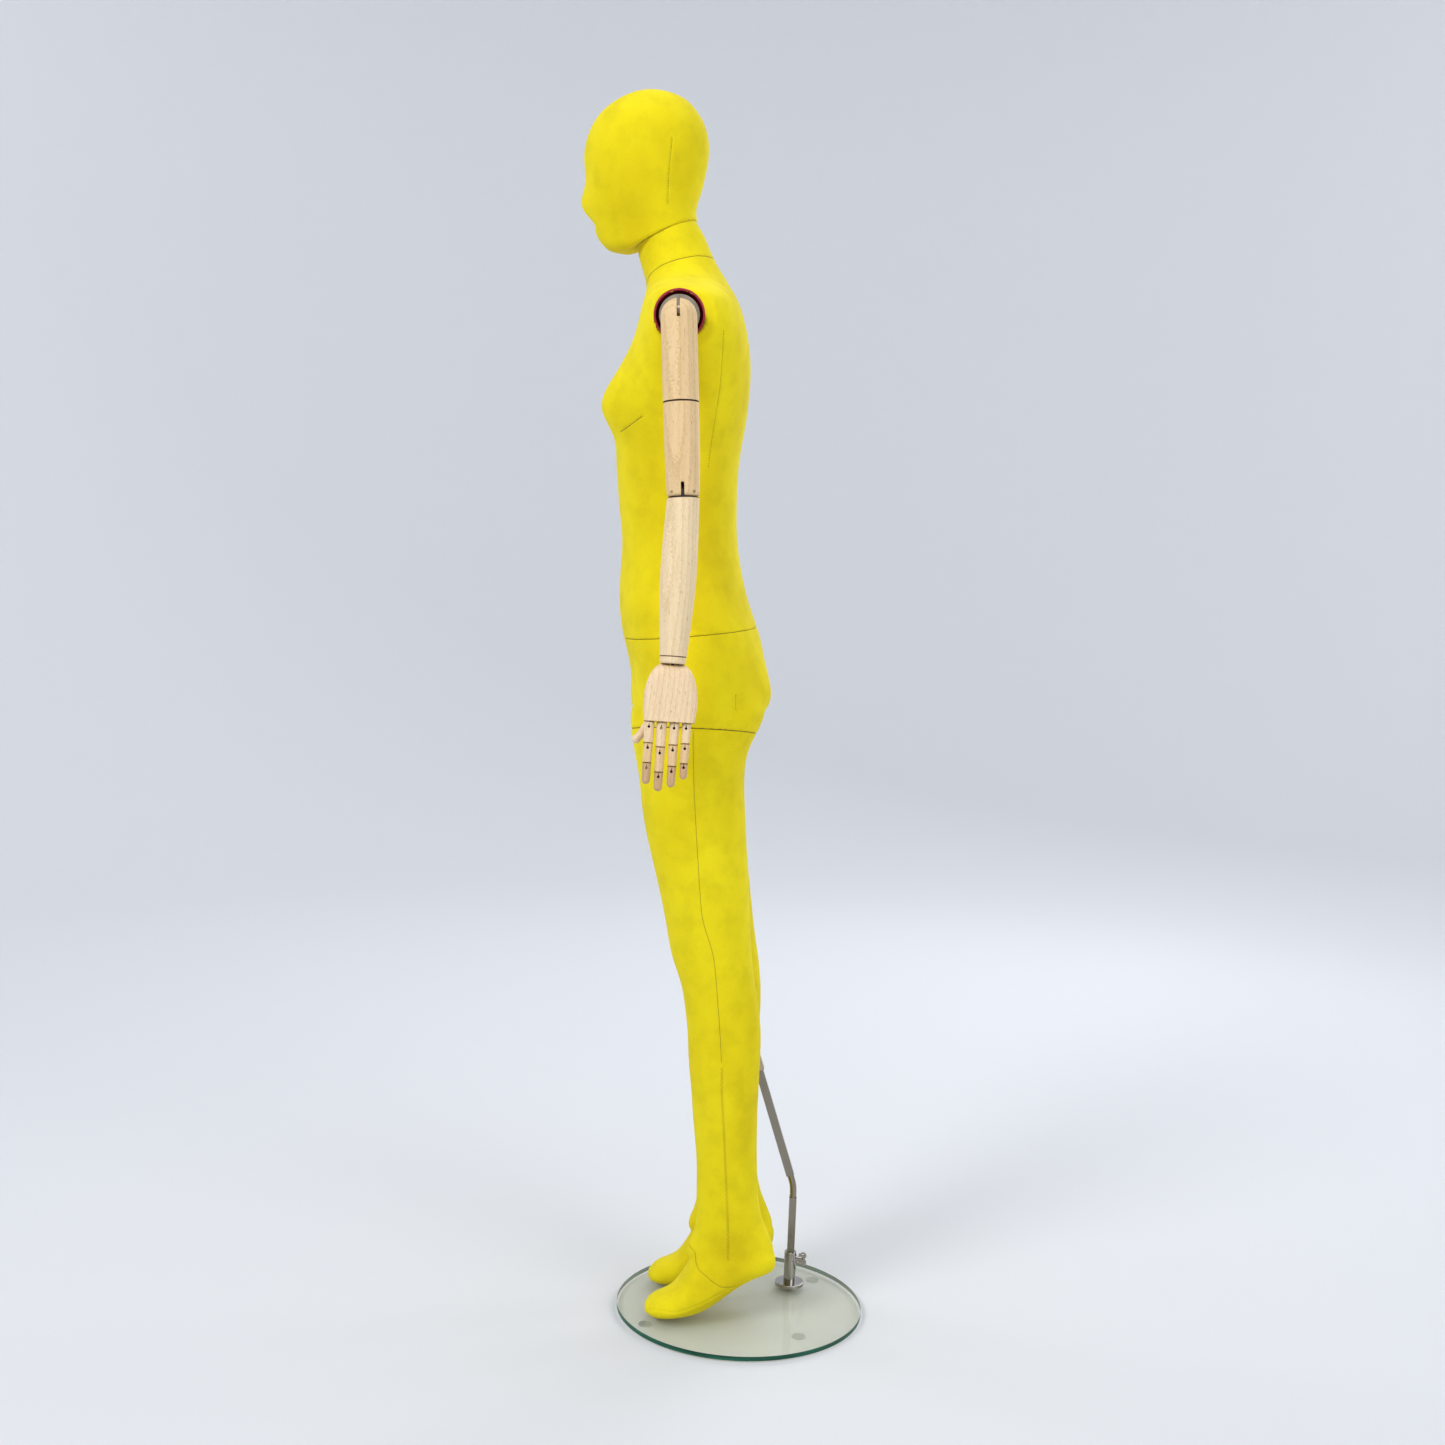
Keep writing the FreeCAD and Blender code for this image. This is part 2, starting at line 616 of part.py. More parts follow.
# ---------------------------------------------------------------- calf rod
def bend_point(turn):
    """A point of the bend's arc, in the plane the rod leans in."""
    return Vector(0, -BEND_RADIUS * (1 - math.cos(turn)), BEND_STRAIGHT + BEND_RADIUS * math.sin(turn))


def make_rod():
    lower_start = SOCKET_FLOOR + SEATED
    lower = square_tube(LOWER_TUBE_WIDTH, TUBE_WALL, LOWER_TUBE_TOP - lower_start)
    save("rod_lower_tube", placed(lower, frame(ROD_BASE, 0, 0, lower_start)))

    start, end = Vector(), Vector(0, -BEND_REACH, BEND_RISE)
    first, middle, last = (bend_point(BEND_LEAN * share) for share in (0, 0.5, 1))
    path = Part.Wire([
        Part.LineSegment(start, first).toShape(),
        Part.Arc(first, middle, last).toShape(),
        Part.LineSegment(last, end).toShape(),
    ])
    section = Part.Wire([Part.Circle(start, Z_AXIS, BEND_BAR_RADIUS).toShape()])
    bar = path.makePipeShell([section], True, False)
    spigot_radius = LOWER_TUBE_WIDTH / 2 - TUBE_WALL - SEATED
    lower_spigot = rod_along_z(spigot_radius, -BEND_SPIGOT, BEND_SPIGOT_ROOT)
    upper_spigot = rod_along_z(spigot_radius, -BEND_SPIGOT_ROOT, BEND_SPIGOT)
    upper_spigot = placed(upper_spigot, Placement(end, Rotation(X_AXIS, ROD_LEAN)))
    bend = fused(bar, lower_spigot, upper_spigot)
    save("rod_bend", placed(bend, frame(ROD_BASE, 0, 0, LOWER_TUBE_TOP)))
    save("rod_upper_tube", placed(square_tube(UPPER_TUBE_WIDTH, TUBE_WALL, UPPER_TUBE_LENGTH), UPPER_TUBE))


def sleeve_parts():
    """The steel sleeve in the calf that the rod slides in, and the space it needs."""
    half = UPPER_TUBE_WIDTH / 2 + TUBE_FIT + SLEEVE_WALL
    length = UPPER_TUBE_LENGTH + BODY_GAP - SLEEVE_START
    tube = square_tube(2 * half, SLEEVE_WALL, length)
    cap = box(-half, half, -half, half, length, length + SLEEVE_WALL)
    room = half + SEATED
    space = box(-room, room, -room, room, -SLEEVE_SPACE_BELOW, length + SLEEVE_WALL)
    place = frame(UPPER_TUBE, 0, 0, SLEEVE_START)
    return placed(fused(tube, cap), place), placed(space, place)


# ---------------------------------------------------------------- covers, shells and pegs
def make_figure():
    outer, middle, inner = (figure_form(inset) for inset in (0, COVER, COVER + SHELL))
    sleeve, sleeve_space = sleeve_parts()
    save("calf_sleeve", sleeve)

    waist_place = frame(WAIST_PLACE, 0, 0, -BODY_GAP)
    thigh_place = frame(THIGH_PLACE, 0, 0, -BODY_GAP)
    waist_pocket = placed(peg_pocket(WAIST_PEG), waist_place)
    thigh_pocket = placed(peg_pocket(THIGH_PEG), thigh_place)
    pegs = placed(flanged_peg(WAIST_PEG), waist_place), placed(flanged_peg(THIGH_PEG), thigh_place)
    save("hip_joint_pegs", *pegs)

    hip_middle = hips_form(middle, 0)
    hip_cover = hips_form(outer, 0).cut(hip_middle)
    save("hip_cover", hip_cover.cut(sleeve_space))
    hip_shell = hip_middle.cut(hips_form(inner, END_WALL))
    save("hip_shell", hip_shell.cut([sleeve_space, waist_pocket, thigh_pocket]))

    leg_middle = left_leg_form(middle, 0)
    save("left_leg_cover", left_leg_form(outer, 0).cut(leg_middle))
    leg_shell = leg_middle.cut(left_leg_form(inner, END_WALL))
    save("left_leg_shell", leg_shell.cut(placed(peg_hole(THIGH_PEG), THIGH_PLACE)))


def shoulder_cup():
    """The lined cup, along X from the shoulder's face inwards."""
    outside = rod_along_x(CUP_RADIUS + CUP_WALL, -CUP_DEPTH - CUP_WALL, 0)
    outside = outside.makeFillet(CUP_OUTER_ROUND, [outside.Edges[2]])
    hollow = rod_along_x(CUP_RADIUS, -CUP_DEPTH, SPARE)
    hollow = hollow.makeFillet(CUP_INNER_ROUND, [hollow.Edges[2]])
    axle_hole = rod_along_x(FITTING_AXLE_RADIUS + RUNNING, -2 * CUP_DEPTH, 0)
    return outside.cut([hollow, axle_hole])


def make_torso():
    outer = torso_form(0, 0, SHOULDER_FACE)
    middle = torso_form(COVER, 0, SHOULDER_FACE - COVER)
    inner = torso_form(COVER + SHELL, END_WALL, SHOULDER_FACE - END_WALL)
    place = frame(ORIGIN, SHOULDER_FACE, *SHOULDER_AXIS)
    cup = placed(shoulder_cup(), place)
    cup_space = placed(rod_along_x(CUP_RADIUS + CUP_WALL + SEATED, -CUP_DEPTH, THROUGH), place)
    cup_spaces = [cup_space, mirrored(cup_space)]
    save("shoulder_cups", cup, mirrored(cup))
    save("torso_cover", outer.cut(middle).cut(cup_spaces))
    neck_place = frame(NECK_PLACE, 0, 0, -BODY_GAP)
    neck_pocket = placed(peg_pocket(NECK_PEG), neck_place)
    waist_hole = placed(peg_hole(WAIST_PEG), WAIST_PLACE)
    save("torso_shell", middle.cut(inner).cut(cup_spaces + [neck_pocket, waist_hole]))
    save("neck_peg", placed(flanged_peg(NECK_PEG), neck_place))


def make_head():
    outer, middle, inner = (
        head_form(inset).common(half_space(NECK_POINT, NECK_NORMAL, BODY_GAP + wall))
        for inset, wall in ((0, 0), (COVER, 0), (COVER + SHELL, END_WALL))
    )
    save("head_cover", outer.cut(middle))
    save("head_shell", middle.cut(inner).cut(placed(peg_hole(NECK_PEG), NECK_PLACE)))


# ---------------------------------------------------------------- left arm; the right is its mirror
def shoulder_fitting():
    """The disc that turns in the cup, with its axle, nut and the tongue for the arm's pin."""
    face = SHOULDER_FACE - FITTING_DISC_DEPTH - SHOULDER_PIN_REACH
    cup_back = SHOULDER_FACE - CUP_DEPTH - CUP_WALL - SHOULDER_PIN_REACH
    disc = rod_along_x(FITTING_DISC_RADIUS, face - FITTING_DISC_THICKNESS, face)
    axle = rod_along_x(FITTING_AXLE_RADIUS, cup_back - FITTING_AXLE_END, face)
    nut_near, nut_far = FITTING_NUT
    nut = rod_along_x(FITTING_NUT_RADIUS, cup_back - nut_far, cup_back - nut_near)
    nut = nut.cut(rod_along_x(FITTING_AXLE_RADIUS + SEATED, cup_back - FITTING_AXLE_END, cup_back))
    half = TONGUE_THICKNESS / 2
    tongue = box(face - SPARE, 0, -half, half, -TONGUE_HALF_HEIGHT, TONGUE_HALF_HEIGHT)
    eye = cross_pin(TONGUE_HALF_HEIGHT, half)
    pin_hole = cross_pin(ARM_PIN_RADIUS + RUNNING, THROUGH)
    return fused(disc, axle, tongue, eye).cut(pin_hole), nut


def upper_arm():
    low = -SWIVEL_DROP + BODY_GAP
    side = DOME_RADIUS * math.sqrt(0.5)
    centre = DOME_RISE - DOME_RADIUS
    chamfer = SWIVEL_CHAMFER
    wood = turned([
        arc(0, DOME_RISE, side, centre + side, DOME_RADIUS, centre),
        line(DOME_RADIUS, centre, SWIVEL_RADIUS, low + chamfer),
        line(SWIVEL_RADIUS, low + chamfer, SWIVEL_RADIUS - chamfer, low),
        line(SWIVEL_RADIUS - chamfer, low, 0, low),
    ])
    half = TONGUE_THICKNESS / 2 + SLOT_FIT
    slot = box(-THROUGH, THROUGH, -half, half, DOME_RISE - SHOULDER_SLOT_DEPTH, DOME_RISE + SPARE)
    pin_hole = cross_pin(ARM_PIN_RADIUS + SEATED, THROUGH)
    pin = cross_pin(ARM_PIN_RADIUS, DOME_RADIUS - SHOULDER_PIN_SHORT)
    radius, length = SWIVEL_AXLE
    bore = rod_along_z(radius + RUNNING, low - SPARE, low + length + SPARE)
    return wood.cut([slot, pin_hole, bore]), pin


def elbow_section():
    high, low = -SWIVEL_DROP - BODY_GAP, -ELBOW_DROP
    corner = ELBOW_ROUND * (1 - math.sqrt(0.5))
    round_top = low + ELBOW_ROUND
    flat_radius = ELBOW_RADIUS - ELBOW_ROUND
    chamfer = SWIVEL_CHAMFER
    wood = turned([
        line(0, high, SWIVEL_RADIUS - chamfer, high),
        line(SWIVEL_RADIUS - chamfer, high, SWIVEL_RADIUS, high - chamfer),
        spline([(SWIVEL_RADIUS, high - chamfer), *ELBOW_OUTLINE, (ELBOW_RADIUS, round_top)]),
        arc(ELBOW_RADIUS, round_top, ELBOW_RADIUS - corner, low + corner, flat_radius, low),
        line(flat_radius, low, 0, low),
    ])
    radius, length = SWIVEL_AXLE
    seat = high - SWIVEL_AXLE_SEAT
    axle = rod_along_z(radius, seat, high + length)
    socket = rod_along_z(radius + SEATED, seat - SEATED, high + SPARE)
    thickness, eye_radius, _ = ELBOW_TONGUE
    half = thickness / 2 + SLOT_FIT
    x, z = ELBOW_PIN
    slot_back = x - eye_radius - 2 * SLOT_FIT
    slot = box(slot_back, THROUGH, -half, half, low - SPARE, low + ELBOW_SLOT_HEIGHT)
    pin_hole = cross_pin(ELBOW_PIN_RADIUS + SEATED, THROUGH, x, z)
    pin = cross_pin(ELBOW_PIN_RADIUS, ELBOW_PIN_HALF_LENGTH, x, z)
    return wood.cut([slot, pin_hole, socket]), pin, axle


def tongue_with_eye(tongue, x, eye_level, low):
    """A steel tongue with a round eye, and the pocket it is fixed in."""
    thickness, eye_radius, _ = tongue
    half = thickness / 2
    plate = box(x - eye_radius, x + eye_radius, -half, half, low, eye_level)
    room = eye_radius + SEATED
    pocket = box(x - room, x + room, -half - SEATED, half + SEATED, low - SEATED, eye_level)
    return plate.fuse(cross_pin(eye_radius, half, x, eye_level)), pocket


def forearm():
    """Wood in its own place, with its top trimmed square to the elbow's end."""
    low = -FOREARM_LENGTH + BODY_GAP
    top_radius = FOREARM[0][0]
    end_radius, end_drop = FOREARM[-1]
    wood = turned([
        line(0, FOREARM_TOP_SPARE, top_radius, FOREARM_TOP_SPARE),
        line(top_radius, FOREARM_TOP_SPARE, top_radius, 0),
        spline([(radius, -drop) for radius, drop in FOREARM]),
        line(end_radius, -end_drop, end_radius - FOREARM_CHAMFER, low),
        line(end_radius - FOREARM_CHAMFER, low, 0, low),
    ])
    radius, length = WRIST_AXLE
    wood = wood.cut(rod_along_z(radius + RUNNING, low - SPARE, low + length + SPARE))
    x, z = ELBOW_PIN
    top = -ELBOW_DROP - BODY_GAP
    tongue, pocket = tongue_with_eye(ELBOW_TONGUE, x, z, top - ELBOW_TONGUE[2])
    tongue = tongue.cut(cross_pin(ELBOW_PIN_RADIUS + RUNNING, THROUGH, x, z))
    above = half_space(Vector(0, 0, top), Z_AXIS)
    place = FOREARM_TOP.inverse().multiply(UPPER_ARM)
    return wood.cut([placed(above, place), placed(pocket, place)]), placed(tongue, place)


def wrist_ring():
    high, low = -BODY_GAP / 2, -WRIST_RING_HEIGHT
    edge, bow, foot = (Vector(WRIST_RADIUS - inset, 0, low + rise) for inset, rise in WRIST_FOOT)
    ring_body = turned([
        line(0, high, WRIST_RADIUS - WRIST_CHAMFER, high),
        line(WRIST_RADIUS - WRIST_CHAMFER, high, WRIST_RADIUS, high - WRIST_CHAMFER),
        line(WRIST_RADIUS, high - WRIST_CHAMFER, edge.x, edge.z),
        arc(edge.x, edge.z, bow.x, bow.z, foot.x, low),
        line(foot.x, low, 0, low),
    ])
    radius, length = WRIST_AXLE
    axle = rod_along_z(radius, -WRIST_AXLE_SEAT, length)
    pin_level = low - WRIST_PIN_DROP
    link_top = low + WRIST_AXLE_SEAT - 2 * SEATED
    link = rod_along_z(WRIST_LINK_RADIUS, pin_level, link_top)
    eye = cross_pin(WRIST_EYE_RADIUS, WRIST_EYE_HALF_WIDTH, z=pin_level)
    link = fused(link, eye).cut(cross_pin(WRIST_PIN_RADIUS + RUNNING, THROUGH, z=pin_level))
    sockets = [
        rod_along_z(radius + SEATED, -WRIST_AXLE_SEAT - SEATED, SPARE),
        rod_along_z(WRIST_LINK_RADIUS + SEATED, low - SPARE, low + WRIST_AXLE_SEAT),
    ]
    return ring_body.cut(sockets), axle, link


def finger_slot(pin_x, reach):
    """What a finger joint takes out of the piece above it, with that piece's end at z = 0."""
    thickness, eye_radius, _ = FINGER_TONGUE
    half = thickness / 2 + SLOT_FIT
    inset = FINGER_PIN_INSET
    slot_top = inset + eye_radius + 2 * SLOT_FIT
    slot = box(-reach - inset, pin_x + eye_radius + FINGER_GAP, -half, half, -SPARE, slot_top)
    corner = box(pin_x - inset - SPARE, pin_x, -THROUGH, THROUGH, -SPARE, inset)
    corner = corner.cut(cross_pin(inset, THROUGH, pin_x, inset))
    pin_hole = cross_pin(FINGER_PIN_RADIUS + SEATED, FINGER_PIN_HALF_LENGTH + SLOT_FIT, pin_x, inset)
    pin = cross_pin(FINGER_PIN_RADIUS, FINGER_PIN_HALF_LENGTH, pin_x, inset)
    return slot, corner, pin_hole, pin


def finger_wood(high, low, radius, end_radius, round_end, curve=0.0):
    """A tapering dowel between two heights. A curve bows it sideways; a round end is a half ball."""
    flat_low = low + (end_radius if round_end else 0)
    rings = []
    for share in (0, 0.25, 0.5, 0.75, 1):
        level = high + (flat_low - high) * share
        width = radius + (end_radius - radius) * share
        rings.append(ring(level, width, -width, width, 0, centre=curve * share ** 2))
    wood = placed(loft(rings), frame(ORIGIN, about_z=90))
    if not round_end:
        return wood
    return wood.fuse(Part.makeSphere(end_radius - SEATED, Vector(0, curve, flat_low)))


def keyhole_cuts(length, half_width):
    """The round hole and slit sunk in the back of a finger segment."""
    radius, slit_height, slit_width, depth = KEYHOLE
    level = -KEYHOLE_SHARE * length
    floor = half_width - depth
    slit = box(floor, THROUGH, -slit_width / 2, slit_width / 2, level, level + slit_height)
    return [rod_along_x(radius, floor, THROUGH, z=level), slit]


def finger_segment(length, half_width, last, end_half_width, curve=0.0):
    """One segment hanging from z = 0, with its steel tongue and, below, the next joint's slot and pin."""
    low = -length + (0 if last else FINGER_GAP)
    wood = finger_wood(0, low, half_width, end_half_width, last, curve)
    pin_x = FINGER_PIN_INSET - half_width
    pin_level = FINGER_PIN_INSET + FINGER_GAP
    tongue, pocket = tongue_with_eye(FINGER_TONGUE, pin_x, pin_level, -FINGER_TONGUE[2])
    tongue = tongue.cut(cross_pin(FINGER_PIN_RADIUS + RUNNING, THROUGH, pin_x, pin_level))
    cuts = [pocket] + keyhole_cuts(length, half_width)
    if last:
        return wood.cut(cuts), tongue
    end = frame(ORIGIN, 0, 0, low)
    joint = finger_slot(FINGER_PIN_INSET - end_half_width, end_half_width)
    slot, corner, pin_hole, pin = (placed(part, end) for part in joint)
    return wood.cut(cuts + [slot, corner, pin_hole]), tongue, pin


def wrist_space():
    """The room in the palm that the wrist's link and eye swing in."""
    pin_level = -WRIST_PIN_DROP
    half = WRIST_LINK_RADIUS + WRIST_BEND_SPACE
    eye_half = WRIST_EYE_HALF_WIDTH + WRIST_BEND_SPACE
    eye_radius = WRIST_EYE_RADIUS + WRIST_BEND_SPACE
    cuts = [
        cross_pin(eye_radius, eye_half, z=pin_level),
        box(-eye_radius, eye_radius, -eye_half, eye_half, pin_level, SPARE),
    ]
    link = rod_along_z(half, 0, THROUGH)
    for angle in (-WRIST_BEND, 0, WRIST_BEND):
        cuts.append(placed(link, frame(ORIGIN, 0, 0, pin_level, about_y=angle)))
    spread = WRIST_PIN_DROP * math.tan(math.radians(WRIST_BEND))
    corners = [(0, pin_level), (spread, 0), (spread, SPARE), (-spread, SPARE), (-spread, 0), (0, pin_level)]
    wedge = Part.Face(Part.makePolygon([Vector(x, -half, z) for x, z in corners]))
    return cuts + [wedge.extrude(Vector(0, 2 * half, 0))]


def palm():
    wood = loft([ring(-drop, thick, -wide, wide, 0, PALM_SQUARENESS) for drop, thick, wide in PALM])
    pins = [cross_pin(WRIST_PIN_RADIUS, WRIST_PIN_HALF_LENGTH, z=-WRIST_PIN_DROP)]
    cuts = wrist_space() + [thumb_hole()]
    cuts.append(cross_pin(WRIST_PIN_RADIUS + SEATED, WRIST_PIN_HALF_LENGTH + SPARE, z=-WRIST_PIN_DROP))
    for across, _, half_width in FINGERS.values():
        end = frame(ORIGIN, 0, across, -PALM_LENGTH)
        joint = finger_slot(PALM_FACE + FINGER_PIN_INSET, half_width)
        slot, corner, hole, pin = (placed(part, end) for part in joint)
        cuts += [slot, corner, hole]
        pins.append(pin)
    return [wood.cut(cuts)] + pins


def thumb_base():
    """The thumb's lower half lies against the palm's face and turns on a pin along X."""
    half_width, root = THUMB_HALF_WIDTH, -THUMB_PIN_DROP
    low = -THUMB_LENGTHS[0] + FINGER_GAP
    end_width = half_width * THUMB_END_SHARE
    wood = finger_wood(root, low, half_width, end_width, False, THUMB_CURVE[0])
    wood = wood.fuse(Part.makeSphere(half_width - SEATED, Vector(0, 0, root)))
    end = frame(ORIGIN, 0, THUMB_CURVE[0], low)
    joint = finger_slot(FINGER_PIN_INSET - end_width, end_width)
    slot, corner, pin_hole, end_pin = (placed(part, end) for part in joint)
    root_hole = rod_along_x(THUMB_PIN_RADIUS + SEATED, THUMB_PIN_START, THROUGH, z=root)
    root_pin = rod_along_x(THUMB_PIN_RADIUS, THUMB_PIN_START, THUMB_PIN_REACH, z=root)
    return wood.cut([slot, corner, pin_hole, root_hole]), end_pin, root_pin


def thumb_tip():
    width = THUMB_HALF_WIDTH * THUMB_END_SHARE
    return finger_segment(THUMB_LENGTHS[1], width, True, width * FINGER_TAPER, THUMB_CURVE[1])


def thumb_hole():
    """The bore in the palm's face for the thumb's pin, in the hand's place."""
    bore = rod_along_x(THUMB_PIN_RADIUS + RUNNING, 0, THUMB_PIN_REACH + BODY_GAP, z=-THUMB_PIN_DROP)
    return placed(bore, THUMB_IN_HAND)


def make_fingers(keep):
    """keep(name, solids, place) saves one piece of the hand."""
    for finger, (across, lengths, half_width) in FINGERS.items():
        drop = PALM_LENGTH + FINGER_GAP
        centre_x = PALM_FACE + half_width
        for index, (segment, length) in enumerate(zip(SEGMENTS, lengths)):
            top_width = half_width * FINGER_TAPER ** index
            solids = finger_segment(length, top_width, segment == SEGMENTS[-1], top_width * FINGER_TAPER)
            keep(f"{finger}_{segment}", solids, frame(HAND, centre_x, across, -drop))
            drop += length


def make_arm(side, flip):
    """Every piece of one arm. flip turns a left-hand solid into this side's."""
    def keep(name, solids, place):
        save(f"{side}_{name}", *[flip(placed(solid, place)) for solid in solids])

    keep("shoulder_fitting", shoulder_fitting(), SHOULDER)
    keep("upper_arm", upper_arm(), UPPER_ARM)
    keep("elbow_section", elbow_section(), UPPER_ARM)
    keep("forearm", forearm(), FOREARM_TOP)
    keep("wrist_ring", wrist_ring(), WRIST)
    keep("palm", palm(), HAND)
    make_fingers(keep)
    keep("thumb_base", thumb_base(), THUMB)
    keep("thumb_tip", thumb_tip(), frame(THUMB, 0, THUMB_CURVE[0], -THUMB_LENGTHS[0]))


def main():
    os.makedirs("parts", exist_ok=True)
    make_base()
    make_socket()
    make_socket_screw()
    make_wing_screw()
    make_rod()
    make_figure()
    make_torso()
    make_head()
    make_arm("left", lambda solid: solid)
    make_arm("right", mirrored)


main()
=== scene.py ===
"""The visual model of a full-height display mannequin with jointed wooden arms.

The body is hard shell covered in yellow micro-suede. Each cover is rebuilt here as a thin cloth skin with
sewn seams, and the arms, fittings, rod and glass base keep their CAD meshes under procedural materials.
Lengths are in metres.
"""

import math

import bmesh
import bpy
import numpy as np
from mathutils import Matrix, Vector, noise
from mathutils.bvhtree import BVHTree
from mathutils.kdtree import KDTree


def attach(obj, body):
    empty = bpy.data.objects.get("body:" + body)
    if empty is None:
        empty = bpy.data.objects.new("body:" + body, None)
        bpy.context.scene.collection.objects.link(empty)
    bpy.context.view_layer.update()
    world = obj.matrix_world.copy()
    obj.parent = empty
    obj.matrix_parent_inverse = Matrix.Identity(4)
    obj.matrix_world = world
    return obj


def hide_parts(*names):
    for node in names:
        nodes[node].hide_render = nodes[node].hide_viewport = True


MM = 0.001

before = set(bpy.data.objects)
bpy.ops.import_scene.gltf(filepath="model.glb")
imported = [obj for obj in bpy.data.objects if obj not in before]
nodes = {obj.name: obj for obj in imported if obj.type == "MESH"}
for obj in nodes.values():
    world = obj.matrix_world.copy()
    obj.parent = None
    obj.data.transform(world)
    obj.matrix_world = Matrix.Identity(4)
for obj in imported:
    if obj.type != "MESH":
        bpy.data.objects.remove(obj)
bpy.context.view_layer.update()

# Cloth skins
WELD = 0.001 * MM
VOXEL = 3 * MM
CREASE_ANGLE = math.radians(35)
CORE_PROBE = 2.2 * MM  # deeper than the cover and shallower than the shell's inner face
CORE_PROBES = 60  # about how many are asked for one smooth stretch of the cover
SMALLEST_OPENING = 8  # edges; a boundary loop this short is only a gap in the mesh
PLUG_DEPTH = 7 * MM  # how far an opening is carried past its joint plane while the skin is meshed
PLUG_TAPER = 0.97
PLUG_CLEAR = 0.8 * MM  # a plug stands further than this off the cover
PLUG_SPREAD = 30 * MM  # and is nearer than this to an opening's edge
SHRINK, GROW = 0.55, -0.57  # shares of the way to the neighbours' middle
FIRST_SMOOTHING = 2
SMOOTHING_ROUNDS = 6
SHOULDER_SMOOTHING = 10
SETTLE_REACH = 1.6 * MM  # meshing moves no part of the cover further than this
SINK_LIMIT = 0.9 * MM  # the shell is 1.5 mm under the cover's face
RISE_LIMIT = 4.5 * MM
NEARBY = 3 * VOXEL
DEEPEST = 1.1 * MM  # the most that sewing and undulation together pull the cloth in
RIM_STEP = 0.5 * MM
SNAP_REACH = 7 * MM
UNDULATION = 0.45 * MM
BROAD_WAVES, SMALL_WAVES = 16.0, 41.0  # per metre
WAVE_FADE = 5 * MM
EDGE_ROLL = 3 * MM
EDGE_SINK = 0.35 * MM
SHELL_CLEAR = 0.35 * MM
SHELL_EDGE = 2 * MM  # nearer to an opening than this, the cloth stays on its edge
FACING = 0.5  # the least cosine between the cloth's normal and the shell's

# Turned edges
FLAT_RIM = 0.7 * MM  # an opening's edge lies this near its joint plane
LIP = 3 * MM
LIP_DROP = 0.3 * MM
UNDER_STEPS = 5
UNDER_HOLE = 32 * MM  # the radius left open about the neck
UNDER_DROP = 0.15 * MM
NECK_MIDDLE = Vector((0, -110 * MM, 1556 * MM))

# Hollows that the cloth bridges
SPANNED = ("hips", "left_leg")
SPAN_ROUNDS = 60
SPAN_LIMIT = 4 * MM
SPAN_EDGE = 4 * MM
SPAN_FADE = 14 * MM
CROTCH_HALF = 45 * MM
CROTCH_HEIGHT = 870 * MM
CROTCH_REACH = 80 * MM

# Shoulder caps, whose ends the cloth rounds
CAP_START, CAP_FADE = 135 * MM, 20 * MM  # out from the middle of the torso
ARMPIT, ARMPIT_FADE = 1330 * MM, 30 * MM  # up from the ground

# Seams
SEAM_STEP = 1 * MM
SEAM_REACH = 6 * MM
GROOVE_DEPTH = {"deep": 0.9 * MM, "fine": 0.6 * MM, "dash": 0.6 * MM, "zigzag": 0.3 * MM, "crease": 0.7 * MM}
GROOVE_WIDTH = 1.3 * MM
PUCKER_HEIGHT = 0.3 * MM
PUCKER_MEAN, PUCKER_SWING = 0.6, 0.4
PUCKER_OFFSET = 3.4 * MM
PUCKER_WIDTH = 1.8 * MM
PUCKER_PITCH = 9 * MM
CUT_TOLERANCE = 0.05 * MM

# Thread
THREAD_SIDES = 6
# A dark cord laid in a closed seam is painted shadow of its groove.
SHADOW_CORD_RADIUS = {"deep": 0.50 * MM, "fine": 0.32 * MM}
SHADOW_CORD_STEP = 4 * MM
STITCH_LENGTH = 2.4 * MM
STITCH_PITCH = 3.6 * MM
STITCH_RADIUS = 0.28 * MM
STITCH_PROFILE = ((0.0, 0.55), (0.2, 1.0), (0.8, 1.0), (1.0, 0.55))  # shares of its length and its radius
SHORTEST_STITCH = 0.5 * MM
ZIGZAG_HALF = 1.8 * MM
ZIGZAG_PITCH = 3.0 * MM

# Wood
SAME_PLACE = 0.002 * MM
# How far the painted shade line at a wooden joint reaches to each side of its plane.
JOINT_SHADOW_WIDTH = 1.0 * MM
SUNK_DEPTH = 0.2 * MM
PALM_HOLLOW = 1.6 * MM
HULL_WELD = 0.2 * MM
HULL_BLOCK = 2000  # polygons tested at a time
END_TURN = 50  # faces of one end have normals that agree to 1 in 50
END_LEVEL = 0.1 * MM
END_SLACK = 0.3 * MM
END_STEEPNESS = 0.9
SMALLEST_END = 25 * MM**2
MOST_ENDS = 6
SEED_STEP = 0.7  # between one piece's grain and the next's


# ---------------------------------------------------------------- materials


def add(tree, kind, inputs=None, **settings):
    """A shader node with its settings, and its inputs set or linked."""
    made = tree.nodes.new("ShaderNode" + kind)
    for key, value in settings.items():
        setattr(made, key, value)
    for key, value in (inputs or {}).items():
        if isinstance(value, bpy.types.NodeSocket):
            tree.links.new(value, made.inputs[key])
        else:
            made.inputs[key].default_value = value
    return made


def material(name, colour, **values):
    """A Principled material with these uniform values."""
    made = bpy.data.materials.new(name)
    made.use_nodes = True
    shader = made.node_tree.nodes["Principled BSDF"]
    shader.inputs["Base Color"].default_value = (*colour, 1)
    for key, value in values.items():
        shader.inputs[key.replace("_", " ")].default_value = value
    made.diffuse_color = (*colour, 1)
    return made, made.node_tree, shader


def ramp(tree, factor, *stops):
    """A colour ramp over (position, colour) stops."""
    made = add(tree, "ValToRGB", {"Fac": factor})
    elements = made.color_ramp.elements
    while len(elements) < len(stops):
        elements.new(0.5)
    for element, (position, colour) in zip(elements, stops):
        element.position = position
        element.color = (*colour, 1) if len(colour) == 3 else colour
    return made.outputs["Color"]


